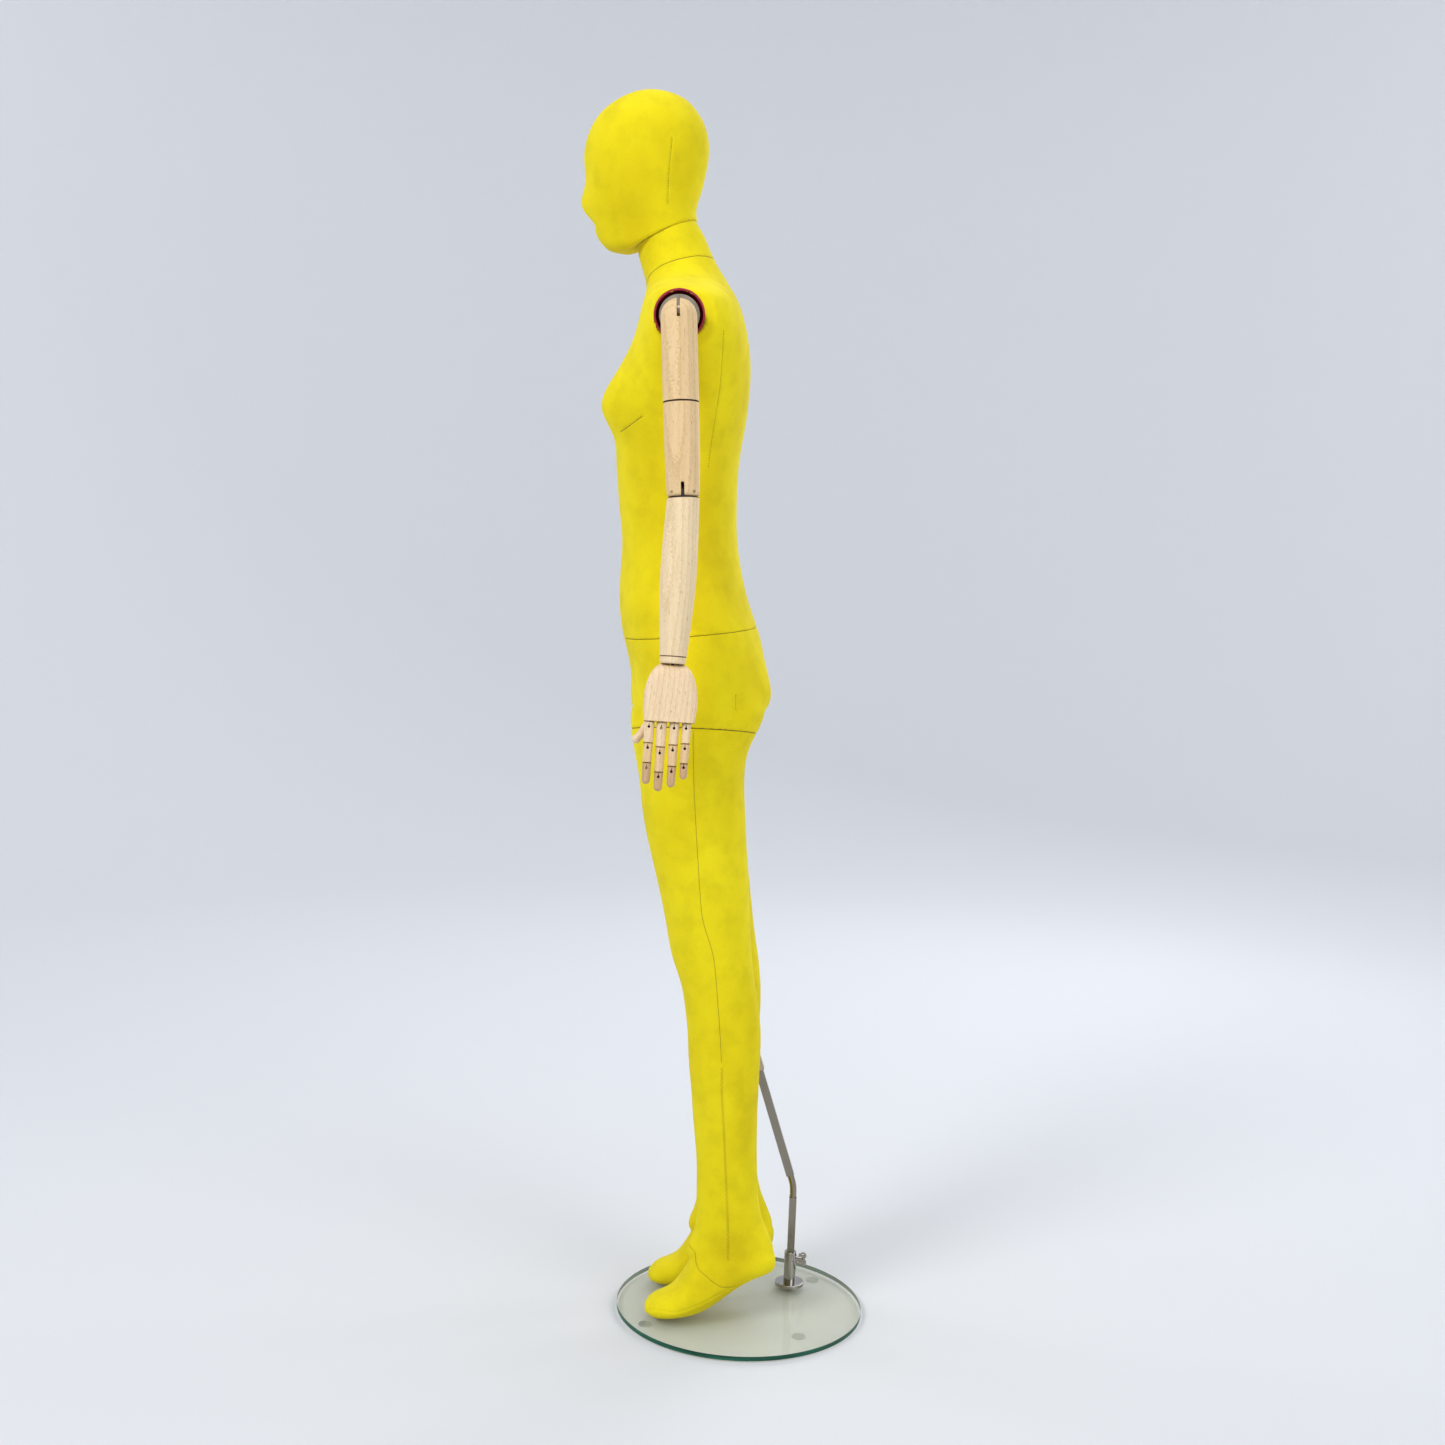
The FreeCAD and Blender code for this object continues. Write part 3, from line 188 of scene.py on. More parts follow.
def grey(value):
    """A colour that only darkens."""
    return (value, value, value)


def mix(tree, factor, a, b, blend_type="MIX"):
    """Colours a and b mixed; each is a socket or a colour."""
    made = add(tree, "Mix", data_type="RGBA", blend_type=blend_type)
    for socket, value in ((0, factor), (6, a), (7, b)):
        if isinstance(value, bpy.types.NodeSocket):
            tree.links.new(value, made.inputs[socket])
        else:
            made.inputs[socket].default_value = value if socket == 0 else (*value, 1)
    return made.outputs[2]


def object_position(tree, offset=(0, 0, 0), scale=(1, 1, 1), rotation=(0, 0, 0)):
    """The place on the piece, in metres, moved, scaled and turned."""
    place = add(tree, "TexCoord").outputs["Object"]
    values = {"Vector": place, "Location": offset, "Rotation": rotation, "Scale": scale}
    return add(tree, "Mapping", values).outputs["Vector"]


def noise_value(tree, vector, scale, detail=3.0, distortion=0.0):
    """Cloudy noise between 0 and 1."""
    values = {"Vector": vector, "Scale": scale, "Detail": detail, "Distortion": distortion}
    return add(tree, "TexNoise", values).outputs["Fac"]


def suede_material():
    """Micro-suede: a soft nap brushed in patches, so that it shows lighter and darker clouds."""
    made, tree, shader = material(
        "yellow_suede", (0.84, 0.71, 0.012), Roughness=0.92, Specular_IOR_Level=0.12, Sheen_Weight=0.12,
        Sheen_Roughness=0.45, Sheen_Tint=(1.0, 0.93, 0.35, 1),
    )
    place = object_position(tree)
    stretched = object_position(tree, scale=(1, 1, 0.55))
    clouds = noise_value(tree, stretched, 7.0, 3.0)
    patches = noise_value(tree, place, 34.0, 3.0)
    fibres = noise_value(tree, place, 900.0, 2.0)
    light, mid, dark = (0.87, 0.73, 0.011), (0.80, 0.655, 0.008), (0.69, 0.54, 0.006)
    broad = ramp(tree, clouds, (0.32, dark), (0.50, mid), (0.66, light))
    brushed = ramp(tree, patches, (0.30, grey(0.90)), (0.55, grey(1.0)))
    nap = ramp(tree, fibres, (0.25, grey(0.90)), (0.70, grey(1.0)))
    colour = mix(tree, 1.0, broad, brushed, "MULTIPLY")
    colour = mix(tree, 1.0, colour, nap, "MULTIPLY")
    tree.links.new(colour, shader.inputs["Base Color"])
    height = add(tree, "Math", {0: patches, 1: fibres}, operation="MULTIPLY")
    bump = add(tree, "Bump", {"Height": height.outputs[0], "Strength": 0.25, "Distance": 0.4 * MM})
    tree.links.new(bump.outputs["Normal"], shader.inputs["Normal"])
    return made


def joint_shadow_line(tree, colour, plane):
    """The colour with a soft dark line of painted shade where the piece ends at a plane, as in a joint's gap.
    """
    point, normal = plane
    place = add(tree, "TexCoord").outputs["Object"]
    along = add(tree, "VectorMath", {0: place, 1: tuple(normal)}, operation="DOT_PRODUCT").outputs["Value"]
    apart = add(tree, "Math", {0: along, 1: float(point.dot(normal))}, operation="SUBTRACT").outputs[0]
    depth = add(tree, "Math", {0: apart}, operation="ABSOLUTE").outputs[0]
    share = add(tree, "Math", {0: depth, 1: JOINT_SHADOW_WIDTH}, operation="DIVIDE").outputs[0]
    shade = ramp(tree, share, (0.45, (0.16, 0.075, 0.045)), (1.0, grey(1.0)))
    return mix(tree, 1.0, colour, shade, "MULTIPLY")


def beech_material(name, tint, seed, planes):
    """Turned beech: growth rings about an axis that leans to the piece's own, with short dark flecks."""
    made, tree, shader = material(name, tint, Roughness=0.52, Specular_IOR_Level=0.38)
    turn = (math.radians(3 + 3 * math.sin(seed)), math.radians(4 * math.cos(seed)), 0.0)
    heart = (-0.20 + 0.02 * math.sin(2.3 * seed), 0.07 + 0.03 * math.cos(1.7 * seed), 0.0)
    place = object_position(tree, heart, rotation=turn)
    values = {"Vector": place, "Scale": 52.0, "Distortion": 2.2, "Detail": 2.0, "Detail Scale": 6.0}
    rings = add(tree, "TexWave", values, wave_type="RINGS", rings_direction="Z", wave_profile="SAW")
    along = object_position(tree, (seed, seed, 0), scale=(1, 1, 0.06))
    fibres = noise_value(tree, along, 1500.0, 2.0)
    streaks = noise_value(tree, along, 160.0, 3.0, 0.4)
    flecked = object_position(tree, (0, seed, 0), scale=(1, 1, 0.16))
    flecks = noise_value(tree, flecked, 720.0, 1.0)
    pale = tuple(min(1.0, c * 1.08) for c in tint)
    deep = (tint[0] * 0.86, tint[1] * 0.79, tint[2] * 0.68)
    colour = ramp(tree, rings.outputs["Fac"], (0.0, pale), (0.70, tint), (1.0, deep))
    colour = mix(tree, 0.30, colour, ramp(tree, streaks, (0.3, deep), (0.60, pale)))
    colour = mix(tree, 1.0, colour, ramp(tree, fibres, (0.3, grey(0.90)), (0.6, grey(1.0))), "MULTIPLY")
    fleck = ramp(tree, flecks, (0.28, (0.66, 0.58, 0.50)), (0.34, grey(1.0)))
    colour = mix(tree, 0.7, colour, fleck, "MULTIPLY")
    # Painted shade: the occlusion darkens the wood to dark brown in its slots, keyholes and narrow gaps.
    shade = add(tree, "AmbientOcclusion", {"Distance": 5 * MM}, samples=6)
    painted_crevice_shade = ramp(tree, shade.outputs["AO"], (0.10, (0.10, 0.05, 0.03)), (0.62, grey(1.0)))
    colour = mix(tree, 0.85, colour, painted_crevice_shade, "MULTIPLY")
    # Painted shade in each joint's gap, where the piece meets the next one.
    for plane in planes:
        colour = joint_shadow_line(tree, colour, plane)
    tree.links.new(colour, shader.inputs["Base Color"])
    bump = add(tree, "Bump", {"Height": fibres, "Strength": 0.15, "Distance": 0.15 * MM})
    tree.links.new(bump.outputs["Normal"], shader.inputs["Normal"])
    return made


def metal_material(name, colour, roughness, wear):
    """Plated or bare metal with faint handling marks."""
    made, tree, shader = material(name, colour, Metallic=1.0, Roughness=roughness)
    marks = noise_value(tree, object_position(tree, scale=(1, 1, 0.3)), 60.0, 4.0, 0.8)
    low, high = grey(roughness * (1 - wear)), grey(roughness * (1 + wear))
    tree.links.new(ramp(tree, marks, (0.35, low), (0.65, high)), shader.inputs["Roughness"])
    return made


def mottled_material(name, colour, low, high, scale, detail, roughness):
    """A material that drifts between a low and a high colour; the first colour is their middle."""
    made, tree, shader = material(name, colour, Roughness=roughness)
    marks = noise_value(tree, object_position(tree), scale, detail)
    tree.links.new(ramp(tree, marks, (0.3, low), (0.7, high)), shader.inputs["Base Color"])
    return made


def glass_materials():
    """The plate's clear faces, and its ground edge, which light makes dark green."""
    clear = {"Roughness": 0.04, "Alpha": 0.24, "Specular_IOR_Level": 0.8}
    ground = {"Roughness": 0.35, "Specular_IOR_Level": 0.25}
    face, _, _ = material("glass_face", (0.66, 0.69, 0.52), **clear)
    edge, tree, shader = material("glass_edge", (0.002, 0.075, 0.042), **ground)
    bands = noise_value(tree, object_position(tree, scale=(1, 1, 12)), 14.0, 2.0)
    colour = ramp(tree, bands, (0.35, (0.003, 0.042, 0.024)), (0.65, (0.012, 0.12, 0.07)))
    tree.links.new(colour, shader.inputs["Base Color"])
    return face, edge


def plain_material(name, colour, roughness):
    """One even colour."""
    made, _, _ = material(name, colour, Roughness=roughness)
    return made


# ---------------------------------------------------------------- cloth skins


def welded(node):
    """A CAD node's mesh with its split corners joined again."""
    bm = bmesh.new()
    bm.from_mesh(nodes[node].data)
    bmesh.ops.remove_doubles(bm, verts=bm.verts, dist=WELD)
    bm.faces.ensure_lookup_table()
    return bm


def grouped(items, neighbours):
    """The items in groups: each group holds all that can be reached from one of them."""
    left, groups = set(items), []
    for start in items:
        if start not in left:
            continue
        left.remove(start)
        group, waiting = [], [start]
        while waiting:
            item = waiting.pop()
            group.append(item)
            for other in neighbours(item):
                if other in left:
                    left.remove(other)
                    waiting.append(other)
        groups.append(group)
    return groups


def over_smooth_edges(face):
    """The faces that meet this one without a crease."""
    edges = [e for e in face.edges if len(e.link_faces) == 2 and e.calc_face_angle(0) <= CREASE_ANGLE]
    return [other for edge in edges for other in edge.link_faces]


def over_edges(face):
    """The faces that share an edge with this one."""
    return [other for edge in face.edges for other in edge.link_faces]


def over_verts(edge):
    """The edges that share a vertex with this one."""
    return [other for vert in edge.verts for other in vert.link_edges]


def open_edges(bm):
    """The edges that only one face uses."""
    return [e for e in bm.edges if len(e.link_faces) == 1]


def outer_surface(cover, shell):
    """The cover's outward face alone: the shell lies just under it."""
    bm = welded(cover)
    away = []
    for group in grouped(bm.faces, over_smooth_edges):
        backed, asked = 0, 0
        for face in group[:: max(1, len(group) // CORE_PROBES)]:
            probe = face.calc_center_median() - face.normal * CORE_PROBE
            place, normal, _, _ = shell.find_nearest(probe)
            asked += 1
            backed += (probe - place).dot(normal) < 0
        if backed < 0.5 * asked:
            away += group
    bmesh.ops.delete(bm, geom=away, context="FACES")
    return bm


def openings(bm):
    """Each boundary loop as its edges, its middle and the direction out of the opening."""
    found = []
    for edges in grouped(open_edges(bm), over_verts):
        if len(edges) <= SMALLEST_OPENING:
            continue
        points = np.array([v.co for e in edges for v in e.verts])
        middle = points.mean(0)
        out = np.linalg.svd(points - middle)[2][2]
        outward = Vector((0, 0, 0))
        for edge in edges:
            face = edge.link_faces[0]
            across = (edge.verts[0].co + edge.verts[1].co) / 2 - face.calc_center_median()
            outward += across.normalized() + face.normal
        if np.dot(out, outward) < 0:
            out = -out
        found.append((edges, Vector(middle), Vector(out)))
    return found


def extruded(bm, edges):
    """The new edges and the new vertices of an extruded edge run."""
    made = bmesh.ops.extrude_edge_only(bm, edges=edges)["geom"]
    new_edges = [g for g in made if isinstance(g, bmesh.types.BMEdge)]
    return new_edges, [g for g in made if isinstance(g, bmesh.types.BMVert)]


def plug(bm):
    """Closes each opening a little past its plane, so that the skin can be meshed as a solid."""
    planes = []
    for edges, middle, out in openings(bm):
        rim, verts = extruded(bm, edges)
        for vert in verts:
            vert.co = middle + (vert.co - middle) * PLUG_TAPER + out * PLUG_DEPTH
        bmesh.ops.holes_fill(bm, edges=rim, sides=0)
        planes.append((middle, out))
    return planes


def remeshed(bm, name):
    """The solid meshed again as even quads."""
    mesh = bpy.data.meshes.new(name)
    bmesh.ops.recalc_face_normals(bm, faces=bm.faces)
    bm.to_mesh(mesh)
    bm.free()
    made = bpy.data.objects.new(name, mesh)
    bpy.context.scene.collection.objects.link(made)
    modifier = made.modifiers.new("even", "REMESH")
    modifier.mode = "VOXEL"
    modifier.voxel_size = VOXEL
    graph = bpy.context.evaluated_depsgraph_get()
    even = bpy.data.meshes.new_from_object(made.evaluated_get(graph))
    made.modifiers.clear()
    made.data = even
    bpy.data.meshes.remove(mesh)
    return made


def coordinates(mesh):
    """Each vertex's place, as a row."""
    found = np.empty(3 * len(mesh.vertices))
    mesh.vertices.foreach_get("co", found)
    return found.reshape(-1, 3)


def edge_pairs(mesh):
    """Each edge's two vertex numbers, as a row."""
    found = np.empty(2 * len(mesh.edges), dtype=np.int64)
    mesh.edges.foreach_get("vertices", found)
    return found.reshape(-1, 2)


def neighbour_count(pairs, vertices):
    """How many edges meet at each vertex, as a column."""
    return np.bincount(pairs.ravel(), minlength=vertices).reshape(-1, 1)


def neighbour_middle(place, pairs, count):
    """The middle of the vertices that each vertex shares an edge with."""
    total = np.zeros_like(place)
    np.add.at(total, pairs[:, 0], place[pairs[:, 1]])
    np.add.at(total, pairs[:, 1], place[pairs[:, 0]])
    return total / count


def relax(mesh, rounds, weight=None):
    """Evens the surface without shrinking it, by a shrinking and then a growing step."""
    place = coordinates(mesh)
    pairs = edge_pairs(mesh)
    count = neighbour_count(pairs, len(place))
    share = 1.0 if weight is None else weight.reshape(-1, 1)
    for _ in range(rounds):
        for step in (SHRINK, GROW):
            place += step * share * (neighbour_middle(place, pairs, count) - place)
    mesh.vertices.foreach_set("co", place.ravel())
    mesh.update()


def span(mesh, rims):
    """Lets the tight cloth bridge narrow hollows: its points only ever move outward."""
    start = coordinates(mesh)
    pairs = edge_pairs(mesh)
    count = neighbour_count(pairs, len(start))
    normal = np.empty(start.size)
    mesh.vertex_normals.foreach_get("vector", normal)
    normal = normal.reshape(-1, 3)
    apart = np.array([rims.find(vert.co)[2] for vert in mesh.vertices])
    weight = np.clip((apart - SPAN_EDGE) / SPAN_FADE, 0, 1)
    # The legs stand close together at the crotch, so the cloth doesn't bridge there.
    weight *= ~((np.abs(start[:, 0]) < CROTCH_HALF) & (np.abs(start[:, 2] - CROTCH_HEIGHT) < CROTCH_REACH))
    rise = np.zeros(len(start))
    for _ in range(SPAN_ROUNDS):
        place = start + normal * rise.reshape(-1, 1)
        lift = ((neighbour_middle(place, pairs, count) - place) * normal).sum(1)
        rise = np.minimum(rise + 0.5 * weight * np.clip(lift, 0, None), SPAN_LIMIT)
    mesh.vertices.foreach_set("co", (start + normal * rise.reshape(-1, 1)).ravel())
    mesh.update()


def shoulder_weight(place):
    """How much the shoulder caps are rounded: fully at their ends, not at all below the armpit."""
    side = np.clip((np.abs(place[:, 0]) - CAP_START) / CAP_FADE, 0, 1)
    high = np.clip((place[:, 2] - ARMPIT) / ARMPIT_FADE, 0, 1)
    return side * high


def plug_faces(mesh, surface, rims):
    """The faces near an opening that stand off the cover's surface: they belong to its plug."""
    found = []
    for face in mesh.polygons:
        if surface.find_nearest(face.center)[3] > PLUG_CLEAR and rims.find(face.center)[2] < PLUG_SPREAD:
            found.append(face.index)
    return found


def cut_open(bm, plugs):
    """Takes the plugs out and keeps the skin, which is the largest piece that is left."""
    bm.faces.ensure_lookup_table()
    bmesh.ops.delete(bm, geom=[bm.faces[i] for i in plugs], context="FACES")
    pieces = sorted(grouped(bm.faces, over_edges), key=len)
    bmesh.ops.delete(bm, geom=[f for piece in pieces[:-1] for f in piece], context="FACES")


def on_closing_seam(place, seam):
    """How far a point is from a closing seam, or None where the seam doesn't run."""
    across, behind, low, high = seam
    if place.y > behind and low < place.z < high:
        return abs(place.x - across)
    return None


def close_back(bm, seam):
    """Splits the skin down its back, where the cover is sewn shut."""
    part = []
    for face in bm.faces:
        distance = on_closing_seam(face.calc_center_median(), seam)
        if distance is not None and distance < NEARBY:
            part.append(face)
    geometry = part + list({e for f in part for e in f.edges}) + list({v for f in part for v in f.verts})
    made = bmesh.ops.bisect_plane(
        bm, geom=geometry, plane_co=(seam[0], 0, 0), plane_no=(1, 0, 0), dist=CUT_TOLERANCE
    )
    line = [g for g in made["geom_cut"] if isinstance(g, bmesh.types.BMEdge) and len(g.link_faces) == 2]
    bmesh.ops.split_edges(bm, edges=line)


def spline(points):
    """A smooth run through the points, sampled about every seam step."""
    p = np.array(points, float)
    p = np.vstack([2 * p[0] - p[1], p, 2 * p[-1] - p[-2]])
    run = []
    for a, b, c, d in zip(p, p[1:], p[2:], p[3:]):
        for t in np.arange(0, 1, SEAM_STEP / max(np.linalg.norm(c - b), SEAM_STEP)):
            bend = (2 * a - 5 * b + 4 * c - d) * t**2 + (3 * b - a - 3 * c + d) * t**3
            run.append(0.5 * (2 * b + (c - a) * t + bend))
    run.append(p[-2])
    return np.array(run)


def laid(tree, points):
    """The run laid on the skin: (place, surface normal) pairs."""
    track = []
    for point in spline(points):
        place, normal, _, _ = tree.find_nearest(Vector(point))
        track.append((place, normal))
    return track


def mirrored(points):
    """The same run on the other side of the figure."""
    return [(-x, y, z) for x, y, z in points]


def point_tree(points):
    """A search tree over places, numbered in order."""
    tree = KDTree(len(points))
    for i, point in enumerate(points):
        tree.insert(point, i)
    tree.balance()
    return tree


def rim_tree(bm):
    """The exact edges of the openings, as close points."""
    points = []
    for edge in open_edges(bm):
        start, end = (v.co for v in edge.verts)
        count = max(1, int((end - start).length / RIM_STEP))
        points += [start.lerp(end, i / count) for i in range(count + 1)]
    return point_tree(points)


def settle(mesh, surface):
    """Lays the even mesh back on the cover's own surface."""
    for vert in mesh.vertices:
        place, _, _, distance = surface.find_nearest(vert.co)
        if distance < SETTLE_REACH:
            vert.co = place


def hold_to(vert, surface):
    """Keeps a point near the cover's face: not sunk into the shell, and not standing far off it."""
    place, normal, _, distance = surface.find_nearest(vert.co)
    height = (vert.co - place).dot(normal)
    if distance < NEARBY and not -SINK_LIMIT < height < RISE_LIMIT:
        vert.co += normal * (min(max(height, -SINK_LIMIT), RISE_LIMIT) - height)


def clear_shell(vert, shell, rims):
    """Lifts the cloth off the shell wherever smoothing or a seam has pulled it in."""
    if rims.find(vert.co)[2] < SHELL_EDGE:
        return
    place, normal, _, distance = shell.find_nearest(vert.co)
    if distance < SETTLE_REACH and normal.dot(vert.normal) > FACING:
        height = (vert.co - place).dot(normal)
        if height < SHELL_CLEAR:
            vert.co += normal * (SHELL_CLEAR - height)


def seam_shift(place, lines, depths, back):
    """How far the sewing pulls the cloth in, or puckers it out, at a place."""
    _, index, distance = lines.find(place)
    near = [(distance, depths[index], index * SEAM_STEP)]
    for seam in back:
        distance = on_closing_seam(place, seam)
        if distance is not None:
            near.append((distance, GROOVE_DEPTH["fine"], place.z))
    shift = 0.0
    for distance, depth, along in near:
        if distance < 2 * SEAM_REACH:
            wave = PUCKER_MEAN + PUCKER_SWING * math.sin(2 * math.pi * along / PUCKER_PITCH)
            shift -= depth * math.exp(-((distance / GROOVE_WIDTH) ** 2))
            shift += PUCKER_HEIGHT * wave * math.exp(-(((distance - PUCKER_OFFSET) / PUCKER_WIDTH) ** 2))
    return shift


def smooth_skin(mesh, body, surface, rims):
    """Evens the meshed skin, and gives back the faces that close its openings."""
    relax(mesh, FIRST_SMOOTHING)
    settle(mesh, surface)
    plugs = plug_faces(mesh, surface, rims)
    relax(mesh, SMOOTHING_ROUNDS)
    if body == "torso":
        relax(mesh, SHOULDER_SMOOTHING, shoulder_weight(coordinates(mesh)))
    if body in SPANNED:
        span(mesh, rims)
    return plugs


def fit_to_cover(bm, surface, rims):
    """Brings the openings to their exact edges and everything else near the cover's face."""
    for vert in bm.verts:
        if any(len(e.link_faces) == 1 for e in vert.link_edges):
            place, _, distance = rims.find(vert.co)
            if distance < SNAP_REACH:
                vert.co = place
        else:
            hold_to(vert, surface)


def lay_seams(bm, seams):
    """Lays the seams on the skin and halves its mesh beside them: their tracks, places and depths."""
    tree = BVHTree.FromBMesh(bm)
    tracks = [(kind, laid(tree, points)) for kind, points in seams]
    lines = point_tree([place for _, track in tracks for place, _ in track])
    depths = [GROOVE_DEPTH[kind] for kind, track in tracks for _ in track]
    close = {v for v in bm.verts if lines.find(v.co)[2] < SEAM_REACH}
    edges = [e for e in bm.edges if e.verts[0] in close and e.verts[1] in close]
    bmesh.ops.subdivide_edges(bm, edges=edges, cuts=1, use_grid_fill=True)
    return tracks, lines, depths


def shape_cloth(bm, shell, rims, lines, depths, back):
    """Undulations, rolled edges and seam grooves, all clear of the shell."""
    bm.normal_update()
    moves = []
    for vert in bm.verts:
        shift = UNDULATION * noise.noise(vert.co * BROAD_WAVES)
        shift += 0.5 * UNDULATION * noise.noise(vert.co * SMALL_WAVES)
        edge_distance = rims.find(vert.co)[2]
        shift *= min(1.0, edge_distance / WAVE_FADE)
        if edge_distance < EDGE_ROLL:
            shift -= EDGE_SINK * (1 - edge_distance / EDGE_ROLL) ** 2
        shift += seam_shift(vert.co, lines, depths, back)
        moves.append(vert.normal * max(shift, -DEEPEST))
    for vert, move in zip(bm.verts, moves):
        vert.co += move
        clear_shell(vert, shell, rims)


def rim_edges(bm, planes):
    """The open edges that lie in a joint plane."""
    found = []
    for edge in open_edges(bm):
        for middle, out in planes:
            if all(abs((v.co - middle).dot(out)) < FLAT_RIM for v in edge.verts):
                found.append(edge)
                break
    return found


def hem(bm, planes):
    """Turns the raw edge of each opening under."""
    _, verts = extruded(bm, rim_edges(bm, planes))
    for vert in verts:
        _, out = min(planes, key=lambda plane: (vert.co - plane[0]).length)
        inward = -(vert.normal - out * vert.normal.dot(out))
        if inward.length > 0:
            vert.co += inward.normalized() * LIP - out * LIP_DROP


def turn_under(bm, planes):
    """Turns the head's cloth under the chin, flat to a ring about the neck."""
    middle, out = planes[0]
    centre = NECK_MIDDLE - out * (NECK_MIDDLE - middle).dot(out)
    edges = rim_edges(bm, planes)
    for vert in {v for e in edges for v in e.verts}:
        vert.co -= out * ((vert.co - middle).dot(out) - UNDER_DROP)
    for steps_left in range(UNDER_STEPS, 0, -1):
        edges, verts = extruded(bm, edges)
        for vert in verts:
            spoke = vert.co - out * (vert.co - middle).dot(out) - centre
            length = UNDER_HOLE + (spoke.length - UNDER_HOLE) * (1 - 1 / steps_left)
            vert.co = centre + spoke.normalized() * length + out * UNDER_DROP


def skin(word, body, seams, back):
    """A cover's cloth skin, the tracks of its seams and its area."""
    core = welded(word + "_shell")
    shell = BVHTree.FromBMesh(core)
    core.free()
    bm = outer_surface(word + "_cover", shell)
    surface = BVHTree.FromBMesh(bm)
    rims = rim_tree(bm)
    planes = plug(bm)
    made = remeshed(bm, word + "_skin")
    plugs = smooth_skin(made.data, body, surface, rims)
    bm = bmesh.new()
    bm.from_mesh(made.data)
    cut_open(bm, plugs)
    fit_to_cover(bm, surface, rims)
    tracks, lines, depths = lay_seams(bm, seams)
    for seam in back:
        close_back(bm, seam)
    shape_cloth(bm, shell, rims, lines, depths, back)
    if body == "head":
        turn_under(bm, planes)
    else:
        hem(bm, planes)
    bmesh.ops.triangulate(bm, faces=[f for f in bm.faces if len(f.verts) > 4])
    bm.to_mesh(made.data)
    area = sum(f.calc_area() for f in bm.faces)
    bm.free()
    made.data.shade_smooth()
    made.data.materials.clear()
    made.data.materials.append(SUEDE)
    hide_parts(word + "_cover")
    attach(made, body)
    return made, tracks, area


# ---------------------------------------------------------------- stitches


def thread_ring(bm, centre, side, other, radius):
    """New vertices round a thread."""
    turns = [2 * math.pi * k / THREAD_SIDES for k in range(THREAD_SIDES)]
    return [bm.verts.new(centre + (side * math.cos(a) + other * math.sin(a)) * radius) for a in turns]


def join_rings(bm, rings):
    """A closed thread through the rings."""
    for low, high in zip(rings, rings[1:]):
        for k in range(THREAD_SIDES):
            after = (k + 1) % THREAD_SIDES
            bm.faces.new((low[k], low[after], high[after], high[k]))
    bm.faces.new(rings[0][::-1])
    bm.faces.new(rings[-1])


def capsule(bm, start, end):
    """One stitch of thread, a short rounded run from start to end."""
    axis = (end - start).normalized()
    side = axis.orthogonal().normalized()
    other = axis.cross(side)
    rings = []
    for along, size in STITCH_PROFILE:
        rings.append(thread_ring(bm, start + (end - start) * along, side, other, STITCH_RADIUS * size))
    join_rings(bm, rings)


def shadow_cord(bm, track, tree, radius):
    """An unbroken round dark cord along a seam, half sunk in the cloth: painted shadow of the seam's groove."""
    rings = []
    step = max(1, int(SHADOW_CORD_STEP / SEAM_STEP))
    for index in range(0, len(track) - 1, step):
        place, _ = track[index]
        ahead = track[min(index + step, len(track) - 1)][0] - place
        place, normal, _, _ = tree.find_nearest(place)
        if ahead.length > 0:
            rings.append(thread_ring(bm, place, normal, ahead.cross(normal).normalized(), radius))
    join_rings(bm, rings)


def topstitch(bm, track, tree, zigzag):
    """Single stitches along a seam, in line or from side to side."""
    pitch, length = (ZIGZAG_PITCH, ZIGZAG_PITCH) if zigzag else (STITCH_PITCH, STITCH_LENGTH)
    for i in range(int(len(track) * SEAM_STEP / pitch)):
        ends = []
        for along, sign in ((i * pitch, 1), (i * pitch + length, -1)):
            index = min(int(along / SEAM_STEP), len(track) - 2)
            place, normal = track[index]
            ahead = track[index + 1][0] - place
            if ahead.length == 0:
                break
            if zigzag:
                flip = sign if i % 2 else -sign
                place = place + ahead.normalized().cross(normal) * ZIGZAG_HALF * flip
            place, normal, _, _ = tree.find_nearest(place)
            ends.append(place + normal * STITCH_RADIUS * 0.5)
        if len(ends) == 2 and (ends[1] - ends[0]).length > SHORTEST_STITCH:
            capsule(bm, *ends)


def sew(name, tracks, body, surface):
    """The threads of one cover: a painted-shadow cord in closed seams, stitches in topstitched ones, none in
    creases.
    """
    tree = BVHTree.FromObject(surface, bpy.context.evaluated_depsgraph_get())
    bm = bmesh.new()
    for kind, track in tracks:
        before = len(bm.faces)
        if kind in SHADOW_CORD_RADIUS:
            shadow_cord(bm, track, tree, SHADOW_CORD_RADIUS[kind])
        elif kind in ("dash", "zigzag"):
            topstitch(bm, track, tree, kind == "zigzag")
        # The zigzag takes the darkened thread, which is partly painted shade.
        if kind == "zigzag":
            bm.faces.ensure_lookup_table()
            for face in bm.faces[before:]:
                face.material_index = 1
    mesh = bpy.data.meshes.new(name)
    bmesh.ops.recalc_face_normals(bm, faces=bm.faces)
    bm.to_mesh(mesh)
    bm.free()
    mesh.shade_smooth()
    mesh.materials.append(THREAD_AND_SEAM_SHADE)
    mesh.materials.append(ZIGZAG_THREAD_AND_SHADE)
    made = bpy.data.objects.new(name, mesh)
    bpy.context.scene.collection.objects.link(made)
    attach(made, body)
    return made


# ---------------------------------------------------------------- covers


def mm(*points):
    """Points given in millimetres."""
    return [tuple(c * MM for c in p) for p in points]


def ring_round(points):
    """A closed run: the left half's points, then the same mirrored back to the start."""
    return points + mirrored(points)[::-1] + points[:1]


def both(kind, points):
    """A seam and its mirror image."""
    return [(kind, points), (kind, mirrored(points))]


SUEDE = suede_material()
